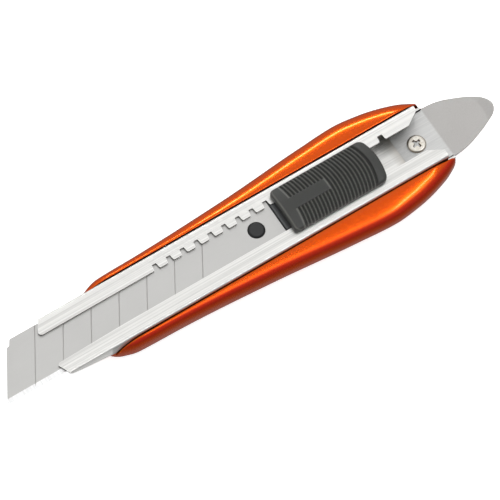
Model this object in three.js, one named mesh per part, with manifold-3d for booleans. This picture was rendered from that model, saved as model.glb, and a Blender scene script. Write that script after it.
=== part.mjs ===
// Auto-lock snap-off utility knife, in millimetres.
// X runs from the blade's tip to the tail, Y from the cutting edge to the spine, Z up from the grip's back.
// The origin is the middle of the flat back that the knife rests on, and the thumb slide is on the +Z side.
import * as THREE from 'three';
import { mergeVertices } from 'three/addons/utils/BufferGeometryUtils.js';
import Module from 'manifold-3d';

const wasm = await Module();
wasm.setup();

// Blade
const bladeWidth = 18;
const bladeThickness = 0.5;
const bladeLength = 102.6;
const bladeTopHeight = 12.5; // blade's upper face above the grip's back
const snapPitch = 10;
const snapCount = 7;
const snapAngle = THREE.MathUtils.degToRad(59);
const scoreDepth = 0.14;
const scoreHalfWidth = 0.16;
const edgeBevel = 1.6; // width of the ground cutting bevel
const snapStepHeight = 2; // length of the stub left at the top of the front edge
const snapStepDepth = 1;
const bladeHoleRadius = 2.8;
const bladeHoleFromRear = 7.6;

// Folded sheet channel
const sheet = 0.7;
const channelLength = 142.1;
const channelHeight = 6.9;
const bendRadius = 0.5;
const upperLipInset = 5.25; // how far the spine-side lip reaches in from the wall's outer face
const lowerLipInset = 4.7;
const lowerLipFrontInset = 4.15;
const lowerLipTaperLength = 24;
const lipFrontSetback = 2.6; // the walls start this far behind the lips' front corner
const lipCornerRadius = 1.2;
const rampLength = 22; // the floor rises over this length towards the front
const rampAngle = THREE.MathUtils.degToRad(10.5);
const lipRearSetback = 2.9;
const lipRearChamfer = 5;
const rackFromFront = 42.15;
const rackPitch = 5;
const notchDepth = 2;
const notchMouth = 2.5;
const notchTop = 1.5;
const parkNotchFromRear = 17.55;
const parkNotchMouth = 2.2;
const rackLandBeforePark = 6;
const notchesBehindRest = 3;

// Grip
const gripLength = 126;
const gripBackToEquator = 6.8; // the section is widest at this height
const rimBelowLip = 1.3; // rim of the groove below the lips' upper face
const sideFullness = 3.8; // superellipse exponents above and below the equator
const bellyFullness = 2.3;
const bellyOverrun = 0.5; // the belly curve would reach this far below the flat back
const noseLength = 12;
const tailDropLength = 10;
const tailDrop = 1.7;
// How far the side stands outside the groove: [distance from the front end, reach] and the same from the rear end.
const frontReach = [[0, -1.35], [4, 1], [9, 2.55], [24, 3.05], [56, 4.85]];
const rearReach = [[40, 7.45], [27, 8.25], [18, 7.3], [6, 4.05], [0, 0.95]];
const troughHalfWidth = 8;
const gripBackWall = 1.6;
const troughFromFront = 20;
const troughFromRear = 4;
const troughRibWidth = 1.8;
const troughRibCount = 3;
const bossRadius = 3.6;

// Fasteners
const screwFromRear = 7.65;
const screwHeadRadius = 3;
const screwHeadHeight = 0.6;
const screwShankRadius = 1.5;
const screwLength = 6.4;
const recessWidth = 0.75;
const recessLength = 3.3;
const recessDepth = 1;
const recessTurn = THREE.MathUtils.degToRad(22);
const rivetHeadRadius = 2.5;
const rivetHeadHeight = 0.55;
const rivetShankRadius = 1.5;
const rivetLength = 4.6;
const frontRivetFromFront = 35;
const middleRivetFromFront = 92;

// Tail plate
const tailPlateThickness = 0.9;
const tailPlateReach = 20.9; // beyond the channel's rear end
const tailPlateInside = 13.7; // length inside the channel
const tailPlateHalfWidth = 9.5;
const tailTipRadius = 3;
const tailPlateBend = THREE.MathUtils.degToRad(2.5);

// Thumb slide, carriage and lock
const capLength = 35.9;
const capWidth = 15.8;
const capCrownHeight = 2.9; // crown above the cap's underside
const capCrownFall = 1; // how much lower the long edges are than the crown
const capWall = 1.3;
const capFrontCorner = 1.5;
const capRearCorner = 2.5;
const capRearArc = 23;
const capFrontBevel = 1.1;
const capAheadOfPawl = 18.55;
const ribPitch = 1.26;
const ribArc = 18;
const ribGrooveWidth = 0.5;
const ribGrooveDepth = 0.4;
const smoothRearZone = 3.1;
const smoothFrontZone = 5;
const fullRibCount = 12;
const shortRibCount = 10;
const labelLowY = -1.6;
const labelHighY = 2.3;
const ribEndMargin = 0.9;
const carriageHeight = 4.9;
const carriageDeck = 1.4;
const carriageWall = 1.5;
const blockLength = 22.2; // deep front part of the carriage
const carriageTailLength = 14; // shallow rear part, which passes over the tail screw
const carriageTailHeight = 3.2;
const tongueThickness = 1.2;
const tongueBeyondBoss = 6.5;
const tongueWidth = 15;
const bladeBossProud = 0.5;
const bladeBossBevel = 0.5;
const pawlHalfLength = 3;
const pawlDepth = 5.2;
const pawlToothMouth = 1.9;
const pawlToothTip = 1;
const camPinRadius = 0.7;
const camSlotInset = 1.55; // cam slot's first end behind the pawl's shoulder
const hookStemHalfWidth = 1.2;
const hookStemLength = 4;
const hookBarb = 1;
const hookBarbHeight = 0.8;
const hookFrontFromPawl = -9;
const hookRearFromPawl = 11;
const springStrip = 0.2;
const springWidth = 0.6;
const springRise = 1.2;
const springHalfSpan = 2.6;

// Clearances
const runGap = 0.3; // between faces that pass each other
const sideGap = 0.25; // blade or carriage to channel wall
const blanketGap = 0.1; // thin sheets lying on each other
const pinGap = 0.1; // shank in its bore
const grooveGap = 0.4; // channel wall to grip
const bossGap = 0.15; // carriage boss in the blade's hole

// Derived places
const channelHalfInside = bladeWidth / 2 + sideGap;
const channelHalf = channelHalfInside + sheet;
const lipUnder = bladeTopHeight + blanketGap;
const lipTop = lipUnder + sheet;
const channelBottom = lipTop - channelHeight;
const floorTop = channelBottom + sheet;
const gripFront = -gripLength / 2;
const gripRear = gripLength / 2;
const channelRear = gripRear;
const channelFront = channelRear - channelLength;
const upperLipY = channelHalf - upperLipInset;
const lowerLipY = -channelHalf + lowerLipInset;
const lowerLipFrontY = -channelHalf + lowerLipFrontInset;
const rackFirstX = channelFront + rackFromFront;
const parkNotchX = channelRear - parkNotchFromRear;
const rackCount = Math.floor((parkNotchX - rackLandBeforePark - rackFirstX) / rackPitch) + 1;
const pawlX = rackFirstX + (rackCount - 1 - notchesBehindRest) * rackPitch;
const grooveHalf = channelHalf + grooveGap;
const grooveFloor = channelBottom - runGap;
const rimHeight = lipTop - rimBelowLip;
const troughFloor = gripBackWall;
const screwX = channelRear - screwFromRear;
const rivetXs = { front: channelFront + frontRivetFromFront, middle: channelFront + middleRivetFromFront };
const capFront = pawlX - capAheadOfPawl;
const capRear = capFront + capLength;
const capUnder = lipTop + runGap;
const capTop = capUnder + capCrownHeight;
const blockFront = capFront - 2 * runGap;
const blockRear = blockFront + blockLength;
const carriageRear = blockRear + carriageTailLength;
const bladeRear = blockFront - runGap;
const bladeTip = bladeRear - bladeLength;
const bladeHoleX = bladeRear - bladeHoleFromRear;
const bladeUnder = bladeTopHeight - bladeThickness;
const deckTop = lipUnder - runGap;
const deckUnder = deckTop - carriageDeck;
const neckLowY = lowerLipY + runGap;
const neckHighY = upperLipY - runGap;
const pawlTravel = notchDepth;
const toothTipY = upperLipY - runGap - 0.05; // withdrawn tooth, just clear of the lip
const pawlShoulderY = upperLipY - runGap + 0.1 - pawlTravel;
const pawlBackY = pawlShoulderY - pawlDepth;
const far = 400; // longer than anything that it cuts

// ---------- solids ----------

function toSolid(geometry) {
  const bare = geometry.clone();
  bare.deleteAttribute('normal');
  bare.deleteAttribute('uv');
  const merged = mergeVertices(bare, 1e-4);
  const index = merged.index.array;
  const kept = [];
  for (let i = 0; i < index.length; i += 3) {
    const [a, b, c] = [index[i], index[i + 1], index[i + 2]];
    if (a !== b && b !== c && c !== a) kept.push(a, b, c);
  }
  return new wasm.Manifold(new wasm.Mesh({
    numProp: 3,
    vertProperties: new Float32Array(merged.attributes.position.array),
    triVerts: new Uint32Array(kept),
  }));
}

function toGeometry(solid) {
  const mesh = solid.getMesh();
  const geometry = new THREE.BufferGeometry();
  geometry.setAttribute('position', new THREE.BufferAttribute(new Float32Array(mesh.vertProperties), 3));
  geometry.setIndex(new THREE.BufferAttribute(new Uint32Array(mesh.triVerts), 1));
  geometry.computeVertexNormals();
  return geometry;
}

function boxSolid(x0, x1, y0, y1, z0, z1) {
  const geometry = new THREE.BoxGeometry(x1 - x0, y1 - y0, z1 - z0);
  geometry.translate((x0 + x1) / 2, (y0 + y1) / 2, (z0 + z1) / 2);
  return toSolid(geometry);
}

function uprightCylinder(radius, x, y, z0, z1, segments = 32) {
  const geometry = new THREE.CylinderGeometry(radius, radius, z1 - z0, segments);
  geometry.rotateX(Math.PI / 2);
  geometry.translate(x, y, (z0 + z1) / 2);
  return toSolid(geometry);
}

// Turned solid about an upright axis, from a profile of [radius, z].
function turned(profile, x, y, segments = 32) {
  const geometry = new THREE.LatheGeometry(profile.map(([r, z]) => new THREE.Vector2(r, z)), segments);
  geometry.rotateX(Math.PI / 2);
  geometry.translate(x, y, 0);
  return toSolid(geometry);
}

function asShape(outline) {
  return outline instanceof THREE.Shape ? outline : new THREE.Shape(outline.map(([a, b]) => new THREE.Vector2(a, b)));
}

// Outline in plan (x, y), raised from z0 to z1.
function plan(outline, z0, z1, curveSegments = 8) {
  const geometry = new THREE.ExtrudeGeometry(asShape(outline), { depth: z1 - z0, bevelEnabled: false, curveSegments });
  geometry.translate(0, 0, z0);
  return toSolid(geometry);
}

// Outline in side view (x, z), carried from y0 to y1.
function side(outline, y0, y1) {
  const geometry = new THREE.ExtrudeGeometry(asShape(outline), { depth: y1 - y0, bevelEnabled: false });
  geometry.rotateX(Math.PI / 2);
  geometry.translate(0, y1, 0);
  return toSolid(geometry);
}

// Outline in end view (y, z), carried from x0 to x1.
function lengthwise(outline, x0, x1, curveSegments = 4) {
  const geometry = new THREE.ExtrudeGeometry(asShape(outline), { depth: x1 - x0, bevelEnabled: false, curveSegments });
  geometry.applyMatrix4(new THREE.Matrix4().makeBasis(
    new THREE.Vector3(0, 1, 0),
    new THREE.Vector3(0, 0, 1),
    new THREE.Vector3(1, 0, 0),
  ));
  geometry.translate(x0, 0, 0);
  return toSolid(geometry);
}

const object = new THREE.Group();
const materials = {
  orangePaint: { color: 0xd9580f, roughness: 0.28, metalness: 0.6 },
  brushedStainless: { color: 0xd8d8d4, roughness: 0.35, metalness: 1 },
  bladeSteel: { color: 0xc4c4c2, roughness: 0.5, metalness: 0.9 },
  blastedSteel: { color: 0xb8b4ae, roughness: 0.6, metalness: 0.9 },
  nickel: { color: 0xc8c2b8, roughness: 0.3, metalness: 1 },
  blackPlastic: { color: 0x3b3c39, roughness: 0.55, metalness: 0 },
  springSteel: { color: 0x8f9296, roughness: 0.35, metalness: 1 },
};

function addPart(name, solid, material) {
  const mesh = new THREE.Mesh(toGeometry(solid), new THREE.MeshStandardMaterial(materials[material]));
  mesh.name = name;
  object.add(mesh);
}

// ---------- grip ----------

// Height of the channel's underside, which rises in a ramp at the front.
const rampStartX = channelFront + 2.8 + rampLength;
function rampHeight(x) {
  return channelBottom + Math.max(0, rampStartX - x) * Math.tan(rampAngle);
}

const gripOutline = new THREE.CatmullRomCurve3([
  ...frontReach.map(([d, reach]) => new THREE.Vector3(gripFront + d, reach, 0)),
  ...rearReach.map(([d, reach]) => new THREE.Vector3(gripRear - d, reach, 0)),
], false, 'centripetal');
const gripOutlinePoints = gripOutline.getPoints(160);

function gripHalfWidth(x) {
  const next = gripOutlinePoints.findIndex((point) => point.x >= x);
  if (next <= 0) return grooveHalf + gripOutlinePoints[next === 0 ? 0 : gripOutlinePoints.length - 1].y;
  const [a, b] = [gripOutlinePoints[next - 1], gripOutlinePoints[next]];
  return grooveHalf + THREE.MathUtils.mapLinear(x, a.x, b.x, a.y, b.y);
}

// Section of the grip: a full superellipse above the equator, a rounder one below, cut flat at the back.
function gripSection(x, angle) {
  const halfWidth = gripHalfWidth(x);
  const nose = Math.max(0, 1 - (x - gripFront) / noseLength);
  const tail = Math.max(0, 1 - (gripRear - x) / tailDropLength);
  const equator = gripBackToEquator - 1.3 * nose ** 2;
  const rim = rimHeight - 5.4 * nose ** 2.3 - tailDrop * tail ** 2;
  const rimShare = (1 - Math.min(0.98, grooveHalf / halfWidth) ** sideFullness) ** (1 / sideFullness);
  const up = (rim - equator) / rimShare;
  const down = (equator + bellyOverrun) * (1 - 0.62 * nose ** 2.2);
  const fullness = Math.cos(angle) > 0 ? sideFullness : bellyFullness;
  const across = Math.sign(Math.sin(angle)) * Math.abs(Math.sin(angle)) ** (2 / fullness);
  const upright = Math.sign(Math.cos(angle)) * Math.abs(Math.cos(angle)) ** (2 / fullness);
  return [halfWidth * across, equator + (upright > 0 ? up : down) * upright];
}

function gripBlank() {
  const geometry = new THREE.CylinderGeometry(1, 1, 1, 28, 36);
  const position = geometry.attributes.position;
  for (let i = 0; i < position.count; i += 1) {
    const [across, along, up] = [position.getX(i), position.getY(i), position.getZ(i)];
    const x = THREE.MathUtils.lerp(gripRear, gripFront, along + 0.5);
    const onAxis = Math.hypot(across, up) < 0.5;
    const [y, z] = onAxis ? [0, gripBackToEquator] : gripSection(x, Math.atan2(across, up));
    position.setXYZ(i, x, y, z);
  }
  return toSolid(geometry);
}

function gripCasting() {
  const groove = side([
    [gripFront - 5, rampHeight(gripFront - 5) - runGap],
    [rampStartX, grooveFloor],
    [gripRear + 5, grooveFloor],
    [gripRear + 5, capTop + 10],
    [gripFront - 5, capTop + 10],
  ], -grooveHalf, grooveHalf);
  const belowBack = boxSolid(-far, far, -far, far, -far, 0);
  let casting = gripBlank().subtract(groove).subtract(belowBack);

  const troughStart = gripFront + troughFromFront;
  const troughEnd = gripRear - troughFromRear;
  let trough = boxSolid(troughStart, troughEnd, -troughHalfWidth, troughHalfWidth, troughFloor, grooveFloor + 1);
  for (let i = 1; i <= troughRibCount; i += 1) {
    const ribX = THREE.MathUtils.lerp(troughStart, troughEnd, i / (troughRibCount + 1)) + troughRibWidth;
    trough = trough.subtract(boxSolid(
      ribX - troughRibWidth / 2, ribX + troughRibWidth / 2, -far, far, troughFloor - 1, grooveFloor - 1.5,
    ));
  }
  for (const x of [rivetXs.front, rivetXs.middle, screwX]) {
    trough = trough.subtract(uprightCylinder(bossRadius, x, 0, troughFloor - 1, grooveFloor));
  }
  casting = casting.subtract(trough);

  const boreTop = grooveFloor + 1;
  for (const x of [rivetXs.front, rivetXs.middle]) {
    const boreEnd = floorTop - rivetLength - runGap;
    casting = casting.subtract(uprightCylinder(rivetShankRadius + pinGap, x, 0, boreEnd, boreTop, 24));
  }
  const screwBoreEnd = tailPlateTop - screwLength - runGap;
  casting = casting.subtract(uprightCylinder(screwShankRadius + pinGap, screwX, 0, screwBoreEnd, boreTop, 24));
  return casting;
}

// ---------- channel ----------

const tailPlateUnder = floorTop + blanketGap;
const tailPlateTop = tailPlateUnder + tailPlateThickness;

function roundedEnd(half, z0, z1, radius) {
  const shape = new THREE.Shape();
  shape.moveTo(-half + radius, z0);
  shape.absarc(half - radius, z0 + radius, radius, -Math.PI / 2, 0, false);
  shape.absarc(half - radius, z1 - radius, radius, 0, Math.PI / 2, false);
  shape.absarc(-half + radius, z1 - radius, radius, Math.PI / 2, Math.PI, false);
  shape.absarc(-half + radius, z0 + radius, radius, Math.PI, Math.PI * 1.5, false);
  return shape;
}

// Plan of the lips' opening with the slanted front ends and chamfered rear ends.
function lipOpening() {
  const lipFront = channelFront + 0.6;
  const lipRear = channelRear - lipRearSetback;
  const chamferStart = lipRear - lipRearChamfer;
  const shape = new THREE.Shape();
  shape.moveTo(channelFront - 5, lowerLipFrontY);
  shape.lineTo(lipFront, lowerLipFrontY);
  shape.lineTo(channelFront + lowerLipTaperLength, lowerLipY);
  shape.lineTo(chamferStart, lowerLipY);
  shape.lineTo(lipRear, lowerLipY - 2.7);
  shape.lineTo(lipRear, -far);
  shape.lineTo(channelRear + 5, -far);
  shape.lineTo(channelRear + 5, far);
  shape.lineTo(lipRear, far);
  shape.lineTo(lipRear, upperLipY + 3.2);
  shape.lineTo(chamferStart, upperLipY);
  shape.lineTo(lipFront + lipCornerRadius, upperLipY);
  shape.absarc(lipFront + lipCornerRadius, upperLipY + lipCornerRadius, lipCornerRadius, -Math.PI / 2, -Math.PI, true);
  shape.lineTo(channelFront - 5, upperLipY + lipCornerRadius);
  return shape;
}

function notch(x, mouth, top) {
  return plan([
    [x - mouth / 2, upperLipY - 1],
    [x + mouth / 2, upperLipY - 1],
    [x + mouth / 2, upperLipY],
    [x + top / 2, upperLipY + notchDepth],
    [x - top / 2, upperLipY + notchDepth],
    [x - mouth / 2, upperLipY],
  ], lipUnder - 1, lipTop + 1);
}

function countersink(x, gap) {
  return turned([
    [0, floorTop + 1],
    [rivetHeadRadius + gap, floorTop + 1],
    [rivetHeadRadius + gap, floorTop],
    [rivetShankRadius + gap, floorTop - rivetHeadHeight],
    [rivetShankRadius + gap, channelBottom - 1],
    [0, channelBottom - 1],
  ].reverse(), x, 0, 24);
}

function bladeChannel() {
  const slant = 1 / Math.tan(snapAngle);
  const wallFront = channelFront + lipFrontSetback;
  const outside = lengthwise(roundedEnd(channelHalf, channelBottom, lipTop, bendRadius), channelFront, channelRear);
  const rampCut = side([
    [channelFront - 5, channelBottom - 5],
    [rampStartX, channelBottom - 5],
    [rampStartX, channelBottom],
    [channelFront - 5, rampHeight(channelFront - 5)],
  ], -far, far);
  const hollow = side([
    [channelFront - 1, rampHeight(channelFront - 1) + sheet / Math.cos(rampAngle)],
    [rampStartX, floorTop],
    [channelRear + 5, floorTop],
    [channelRear + 5, lipUnder],
    [channelFront - 1, lipUnder],
  ], -channelHalfInside, channelHalfInside);
  const frontCut = plan([
    [channelFront - 5, -far / 10],
    [wallFront + slant * (far / 10 - channelHalf), -far / 10],
    [wallFront - slant * (channelHalf + lowerLipFrontY) + 0.3, lowerLipFrontY],
    [wallFront, lowerLipFrontY + 0.4],
    [wallFront, upperLipY],
    [wallFront - slant * (channelHalf - upperLipY - lipCornerRadius), upperLipY + lipCornerRadius],
    [wallFront + slant * (far / 10 - channelHalf), far / 10],
    [channelFront - 5, far / 10],
  ], channelBottom - 1, lipTop + 1);
  const opening = plan(lipOpening(), lipUnder - 0.3, lipTop + 1);
  let channel = outside.subtract(rampCut).subtract(hollow).subtract(opening).subtract(frontCut);
  for (let i = 0; i < rackCount; i += 1) {
    channel = channel.subtract(notch(rackFirstX + i * rackPitch, notchMouth, notchTop));
  }
  channel = channel.subtract(notch(parkNotchX, parkNotchMouth, notchTop + 0.2));
  for (const x of [rivetXs.front, rivetXs.middle]) {
    channel = channel.subtract(countersink(x, pinGap));
  }
  const screwHole = uprightCylinder(screwShankRadius + pinGap, screwX, 0, channelBottom - 1, floorTop + 1, 24);
  return channel.subtract(screwHole);
}

function channelRivet(x) {
  return turned([
    [0, floorTop - 0.05],
    [rivetHeadRadius, floorTop - 0.05],
    [rivetShankRadius, floorTop - rivetHeadHeight - 0.05],
    [rivetShankRadius, floorTop - rivetLength],
    [0, floorTop - rivetLength],
  ].reverse(), x, 0, 24);
}

// ---------- tail plate and screw ----------

function tailPlate() {
  const creaseX = channelRear + blanketGap;
  const insideHalf = channelHalfInside - sideGap;
  const inside = boxSolid(
    channelRear - tailPlateInside, creaseX + 0.6, -insideHalf, insideHalf, tailPlateUnder, tailPlateTop,
  );
  // Outside the channel each edge is one arc that runs smoothly into the round tip.
  const tipCentre = channelRear + tailPlateReach - tailTipRadius;
  const run = tipCentre - creaseX;
  const half = tailPlateHalfWidth;
  const edgeRadius = (run ** 2 + half ** 2 - tailTipRadius ** 2) / (2 * (half - tailTipRadius));
  const meet = Math.atan2(edgeRadius - half, run);
  const shape = new THREE.Shape();
  shape.absarc(creaseX, edgeRadius - half, edgeRadius, -Math.PI / 2, -meet, false);
  shape.absarc(tipCentre, 0, tailTipRadius, -meet, meet, false);
  shape.absarc(creaseX, half - edgeRadius, edgeRadius, meet, Math.PI / 2, false);
  const blade = new THREE.ExtrudeGeometry(shape, { depth: tailPlateThickness, bevelEnabled: false, curveSegments: 10 });
  blade.translate(-creaseX, 0, -tailPlateThickness);
  blade.rotateY(tailPlateBend);
  blade.translate(creaseX, 0, tailPlateTop);
  const screwHole = uprightCylinder(screwShankRadius + pinGap, screwX, 0, tailPlateUnder - 1, tailPlateTop + 1, 24);
  return inside.add(toSolid(blade)).subtract(screwHole);
}

function tailScrew() {
  const headUnder = tailPlateTop + blanketGap / 2;
  const profile = [
    [0, headUnder + screwHeadHeight],
    [screwHeadRadius * 0.55, headUnder + screwHeadHeight * 0.93],
    [screwHeadRadius * 0.88, headUnder + screwHeadHeight * 0.65],
    [screwHeadRadius, headUnder + screwHeadHeight * 0.25],
    [screwHeadRadius, headUnder],
    [screwShankRadius, headUnder],
    [screwShankRadius, headUnder - screwLength],
    [0, headUnder - screwLength],
  ];
  let screw = turned(profile.reverse(), screwX, 0, 36);
  for (const turn of [recessTurn, recessTurn + Math.PI / 2]) {
    const slot = new THREE.BoxGeometry(recessLength, recessWidth, recessDepth * 2);
    slot.rotateZ(turn);
    slot.translate(screwX, 0, headUnder + screwHeadHeight);
    screw = screw.subtract(toSolid(slot));
  }
  return screw;
}

// ---------- blade ----------

function snapOffBlade() {
  const half = bladeWidth / 2;
  const mid = bladeTopHeight - bladeThickness / 2;
  const slant = 1 / Math.tan(snapAngle);
  let blade = lengthwise([
    [-half, mid],
    [-half + edgeBevel, bladeUnder],
    [half, bladeUnder],
    [half, bladeTopHeight],
    [-half + edgeBevel, bladeTopHeight],
  ], bladeTip, bladeRear);
  const stepY = half - snapStepHeight;
  blade = blade.subtract(plan([
    [bladeTip - 5, -half - 1],
    [bladeTip - slant, -half - 1],
    [bladeTip + slant * (stepY + half), stepY],
    [bladeTip + slant * (stepY + half) + snapStepDepth, stepY + 0.2],
    [bladeTip + slant * (bladeWidth + 1) + snapStepDepth, half + 1],
    [bladeTip - 5, half + 1],
  ], bladeUnder - 1, bladeTopHeight + 1));
  for (let i = 1; i <= snapCount; i += 1) {
    const length = (bladeWidth + 2) / Math.sin(snapAngle);
    const score = new THREE.CylinderGeometry(scoreHalfWidth, scoreHalfWidth, length, 4);
    score.scale(1, 1, scoreDepth / scoreHalfWidth);
    score.rotateZ(snapAngle - Math.PI / 2);
    score.translate(bladeTip + i * snapPitch + slant * half, 0, bladeTopHeight);
    blade = blade.subtract(toSolid(score));
  }
  const hole = uprightCylinder(bladeHoleRadius, bladeHoleX, 0, bladeUnder - 1, bladeTopHeight + 1, 36);
  return blade.subtract(hole);
}

// ---------- carriage ----------

function hookOpening(x) {
  return boxSolid(
    x - hookStemLength / 2 - runGap, x + hookStemLength / 2 + pawlTravel + runGap,
    -hookStemHalfWidth - runGap, hookStemHalfWidth + runGap, 0, capTop,
  );
}

function bladeCarriage() {
  const half = channelHalfInside - sideGap;
  const blockBottom = deckTop - carriageHeight;
  const tailBottom = deckTop - carriageTailHeight;
  const chamfer = carriageHeight - carriageTailHeight;
  const body = side([
    [blockFront, deckTop],
    [blockFront, blockBottom + chamfer],
    [blockFront + chamfer / Math.tan(rampAngle * 2), blockBottom],
    [blockRear - chamfer, blockBottom],
    [blockRear, tailBottom],
    [carriageRear, tailBottom],
    [carriageRear, deckTop],
  ], -half, half);
  const hollow = side([
    [blockFront + carriageWall * 2, deckUnder],
    [blockFront + carriageWall * 2, blockBottom - 1],
    [carriageRear - carriageWall, blockBottom - 1],
    [carriageRear - carriageWall, deckUnder],
  ], -half + carriageWall, half - carriageWall);
  const neck = boxSolid(blockFront, carriageRear, neckLowY, neckHighY, deckTop - 0.5, lipTop);
  const tongueTop = bladeUnder - blanketGap;
  const tongueFront = bladeHoleX - tongueBeyondBoss;
  const tongue = boxSolid(
    tongueFront, blockFront + 1, -tongueWidth / 2, tongueWidth / 2, tongueTop - tongueThickness, tongueTop,
  );
  const bossRadiusAtHole = bladeHoleRadius - bossGap;
  const boss = turned([
    [0, tongueTop - 0.5],
    [bossRadiusAtHole, tongueTop - 0.5],
    [bossRadiusAtHole, bladeTopHeight + bladeBossProud - bladeBossBevel],
    [bossRadiusAtHole - bladeBossBevel, bladeTopHeight + bladeBossProud],
    [0, bladeTopHeight + bladeBossProud],
  ], bladeHoleX, 0);
  const pawlPocket = boxSolid(
    pawlX - pawlHalfLength - runGap, pawlX + pawlHalfLength + runGap,
    neckLowY + 0.45, neckHighY + 1, lipUnder - blanketGap, capTop,
  );
  return body.subtract(hollow).add(neck).add(tongue).add(boss).subtract(pawlPocket)
    .subtract(hookOpening(pawlX + hookFrontFromPawl)).subtract(hookOpening(pawlX + hookRearFromPawl));
}

// ---------- lock ----------

const camStartX = pawlX - pawlTravel / 2;
const camStartY = pawlShoulderY - camSlotInset;

function lockPawl() {
  const shape = asShape([
    [pawlX - pawlHalfLength, pawlBackY],
    [pawlX + pawlHalfLength, pawlBackY],
    [pawlX + pawlHalfLength, pawlShoulderY],
    [pawlX + pawlToothMouth / 2, pawlShoulderY],
    [pawlX + pawlToothTip / 2, toothTipY],
    [pawlX - pawlToothTip / 2, toothTipY],
    [pawlX - pawlToothMouth / 2, pawlShoulderY],
    [pawlX - pawlHalfLength, pawlShoulderY],
  ]);
  // Slot at 45 degrees: as the pin goes back by the travel, the pawl goes out by the same.
  const slotRadius = camPinRadius + bossGap;
  const [endX, endY] = [camStartX + pawlTravel, camStartY - pawlTravel];
  const slot = new THREE.Path();
  slot.absarc(camStartX, camStartY, slotRadius, Math.PI / 4, Math.PI * 1.25, false);
  slot.absarc(endX, endY, slotRadius, Math.PI * 1.25, Math.PI * 2.25, false);
  shape.holes.push(slot);
  return plan(shape, lipUnder, lipTop);
}

function pawlSpring() {
  // Bow of flat strip, its ends against the pocket's wall and its middle against the pawl.
  const middleY = pawlBackY - blanketGap;
  const radius = (springHalfSpan ** 2 + springRise ** 2) / (2 * springRise);
  const sweep = Math.asin(springHalfSpan / radius);
  const shape = new THREE.Shape();
  shape.absarc(pawlX, middleY - radius, radius, Math.PI / 2 - sweep, Math.PI / 2 + sweep, false);
  shape.absarc(pawlX, middleY - radius, radius - springStrip, Math.PI / 2 + sweep, Math.PI / 2 - sweep, true);
  return plan(shape, lipUnder, lipUnder + springWidth, 10);
}

// ---------- cap ----------

function capOutline(inset) {
  const half = capWidth / 2 - inset;
  const front = capFront + inset;
  const rear = capRear - inset;
  const [frontR, rearR] = [Math.max(0.3, capFrontCorner - inset), Math.max(0.3, capRearCorner - inset)];
  const arcCentre = rear - capRearArc;
  const cornerX = arcCentre + Math.sqrt((capRearArc - rearR) ** 2 - (half - rearR) ** 2);
  const meet = Math.atan2(half - rearR, cornerX - arcCentre);
  const shape = new THREE.Shape();
  shape.moveTo(front + frontR, -half);
  shape.lineTo(cornerX, -half);
  shape.absarc(cornerX, -half + rearR, rearR, -Math.PI / 2, -meet, false);
  shape.absarc(arcCentre, 0, capRearArc, -meet, meet, false);
  shape.absarc(cornerX, half - rearR, rearR, meet, Math.PI / 2, false);
  shape.lineTo(front + frontR, half);
  shape.absarc(front + frontR, half - frontR, frontR, Math.PI / 2, Math.PI, false);
  shape.absarc(front + frontR, -half + frontR, frontR, Math.PI, Math.PI * 1.5, false);
  return shape;
}

// Everything under a crown whose middle line is at the given height.
function underCrown(crown) {
  const half = capWidth / 2;
  const radius = (half * half + capCrownFall * capCrownFall) / (2 * capCrownFall);
  const reach = Math.asin((half + 1) / radius);
  const shape = new THREE.Shape();
  shape.moveTo(-half - 1, 0);
  shape.lineTo(half + 1, 0);
  shape.absarc(0, crown - radius, radius, Math.PI / 2 - reach, Math.PI / 2 + reach, false);
  return lengthwise(shape, capFront - 5, capRear + 5, 6);
}

function ribGroove(x, lowY, highY) {
  const centreX = x - ribArc;
  const [start, end] = [Math.asin(lowY / ribArc), Math.asin(highY / ribArc)];
  const shape = new THREE.Shape();
  shape.absarc(centreX, 0, ribArc + ribGrooveWidth / 2, start, end, false);
  shape.absarc(centreX, 0, ribArc - ribGrooveWidth / 2, end, start, true);
  return plan(shape, capUnder, capTop + 1, 3);
}

function capHook(x) {
  const ceiling = capTop - capWall;
  const barbTop = deckUnder - runGap;
  const stem = boxSolid(
    x - hookStemLength / 2, x + hookStemLength / 2, -hookStemHalfWidth, hookStemHalfWidth,
    barbTop - hookBarbHeight, ceiling,
  );
  const barbHalf = hookStemHalfWidth + hookBarb;
  const barb = boxSolid(
    x - hookStemLength / 2, x + hookStemLength / 2, -barbHalf, barbHalf, barbTop - hookBarbHeight, barbTop,
  );
  return stem.add(barb);
}

function sliderCap() {
  const edgeTop = capTop - capCrownFall;
  const ends = side([
    [capFront, capUnder],
    [capFront, edgeTop - 0.4],
    [capFront + capFrontBevel, capTop - 0.3],
    [capFront + 3 * capFrontBevel, capTop + 1],
    [capRear - 2.5, capTop + 1],
    [capRear, edgeTop - 0.3],
    [capRear, capUnder],
  ], -far, far);
  const skin = plan(capOutline(0), capUnder, capTop + 1, 4).intersect(underCrown(capTop)).intersect(ends);
  const core = plan(capOutline(ribEndMargin), capUnder, capTop + 1, 4)
    .intersect(underCrown(capTop - ribGrooveDepth)).intersect(ends);
  const reach = capWidth / 2 - ribEndMargin;
  const lastRibX = capRear - smoothRearZone;
  let ribbed = skin;
  for (let i = 0; i <= fullRibCount; i += 1) {
    ribbed = ribbed.subtract(ribGroove(lastRibX - i * ribPitch, -reach, reach));
  }
  for (let i = 1; i <= shortRibCount; i += 1) {
    const x = lastRibX - (fullRibCount + i) * ribPitch;
    ribbed = ribbed.subtract(ribGroove(x, -reach, labelLowY)).subtract(ribGroove(x, labelHighY, reach));
  }
  const pocket = plan(capOutline(capWall), capUnder - 1, capTop - capCrownFall - 0.8, 3);
  const pin = uprightCylinder(camPinRadius, camStartX, camStartY, lipUnder + 0.1, capTop - capWall, 20);
  return ribbed.add(core).subtract(pocket)
    .add(capHook(pawlX + hookFrontFromPawl)).add(capHook(pawlX + hookRearFromPawl)).add(pin);
}

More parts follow.
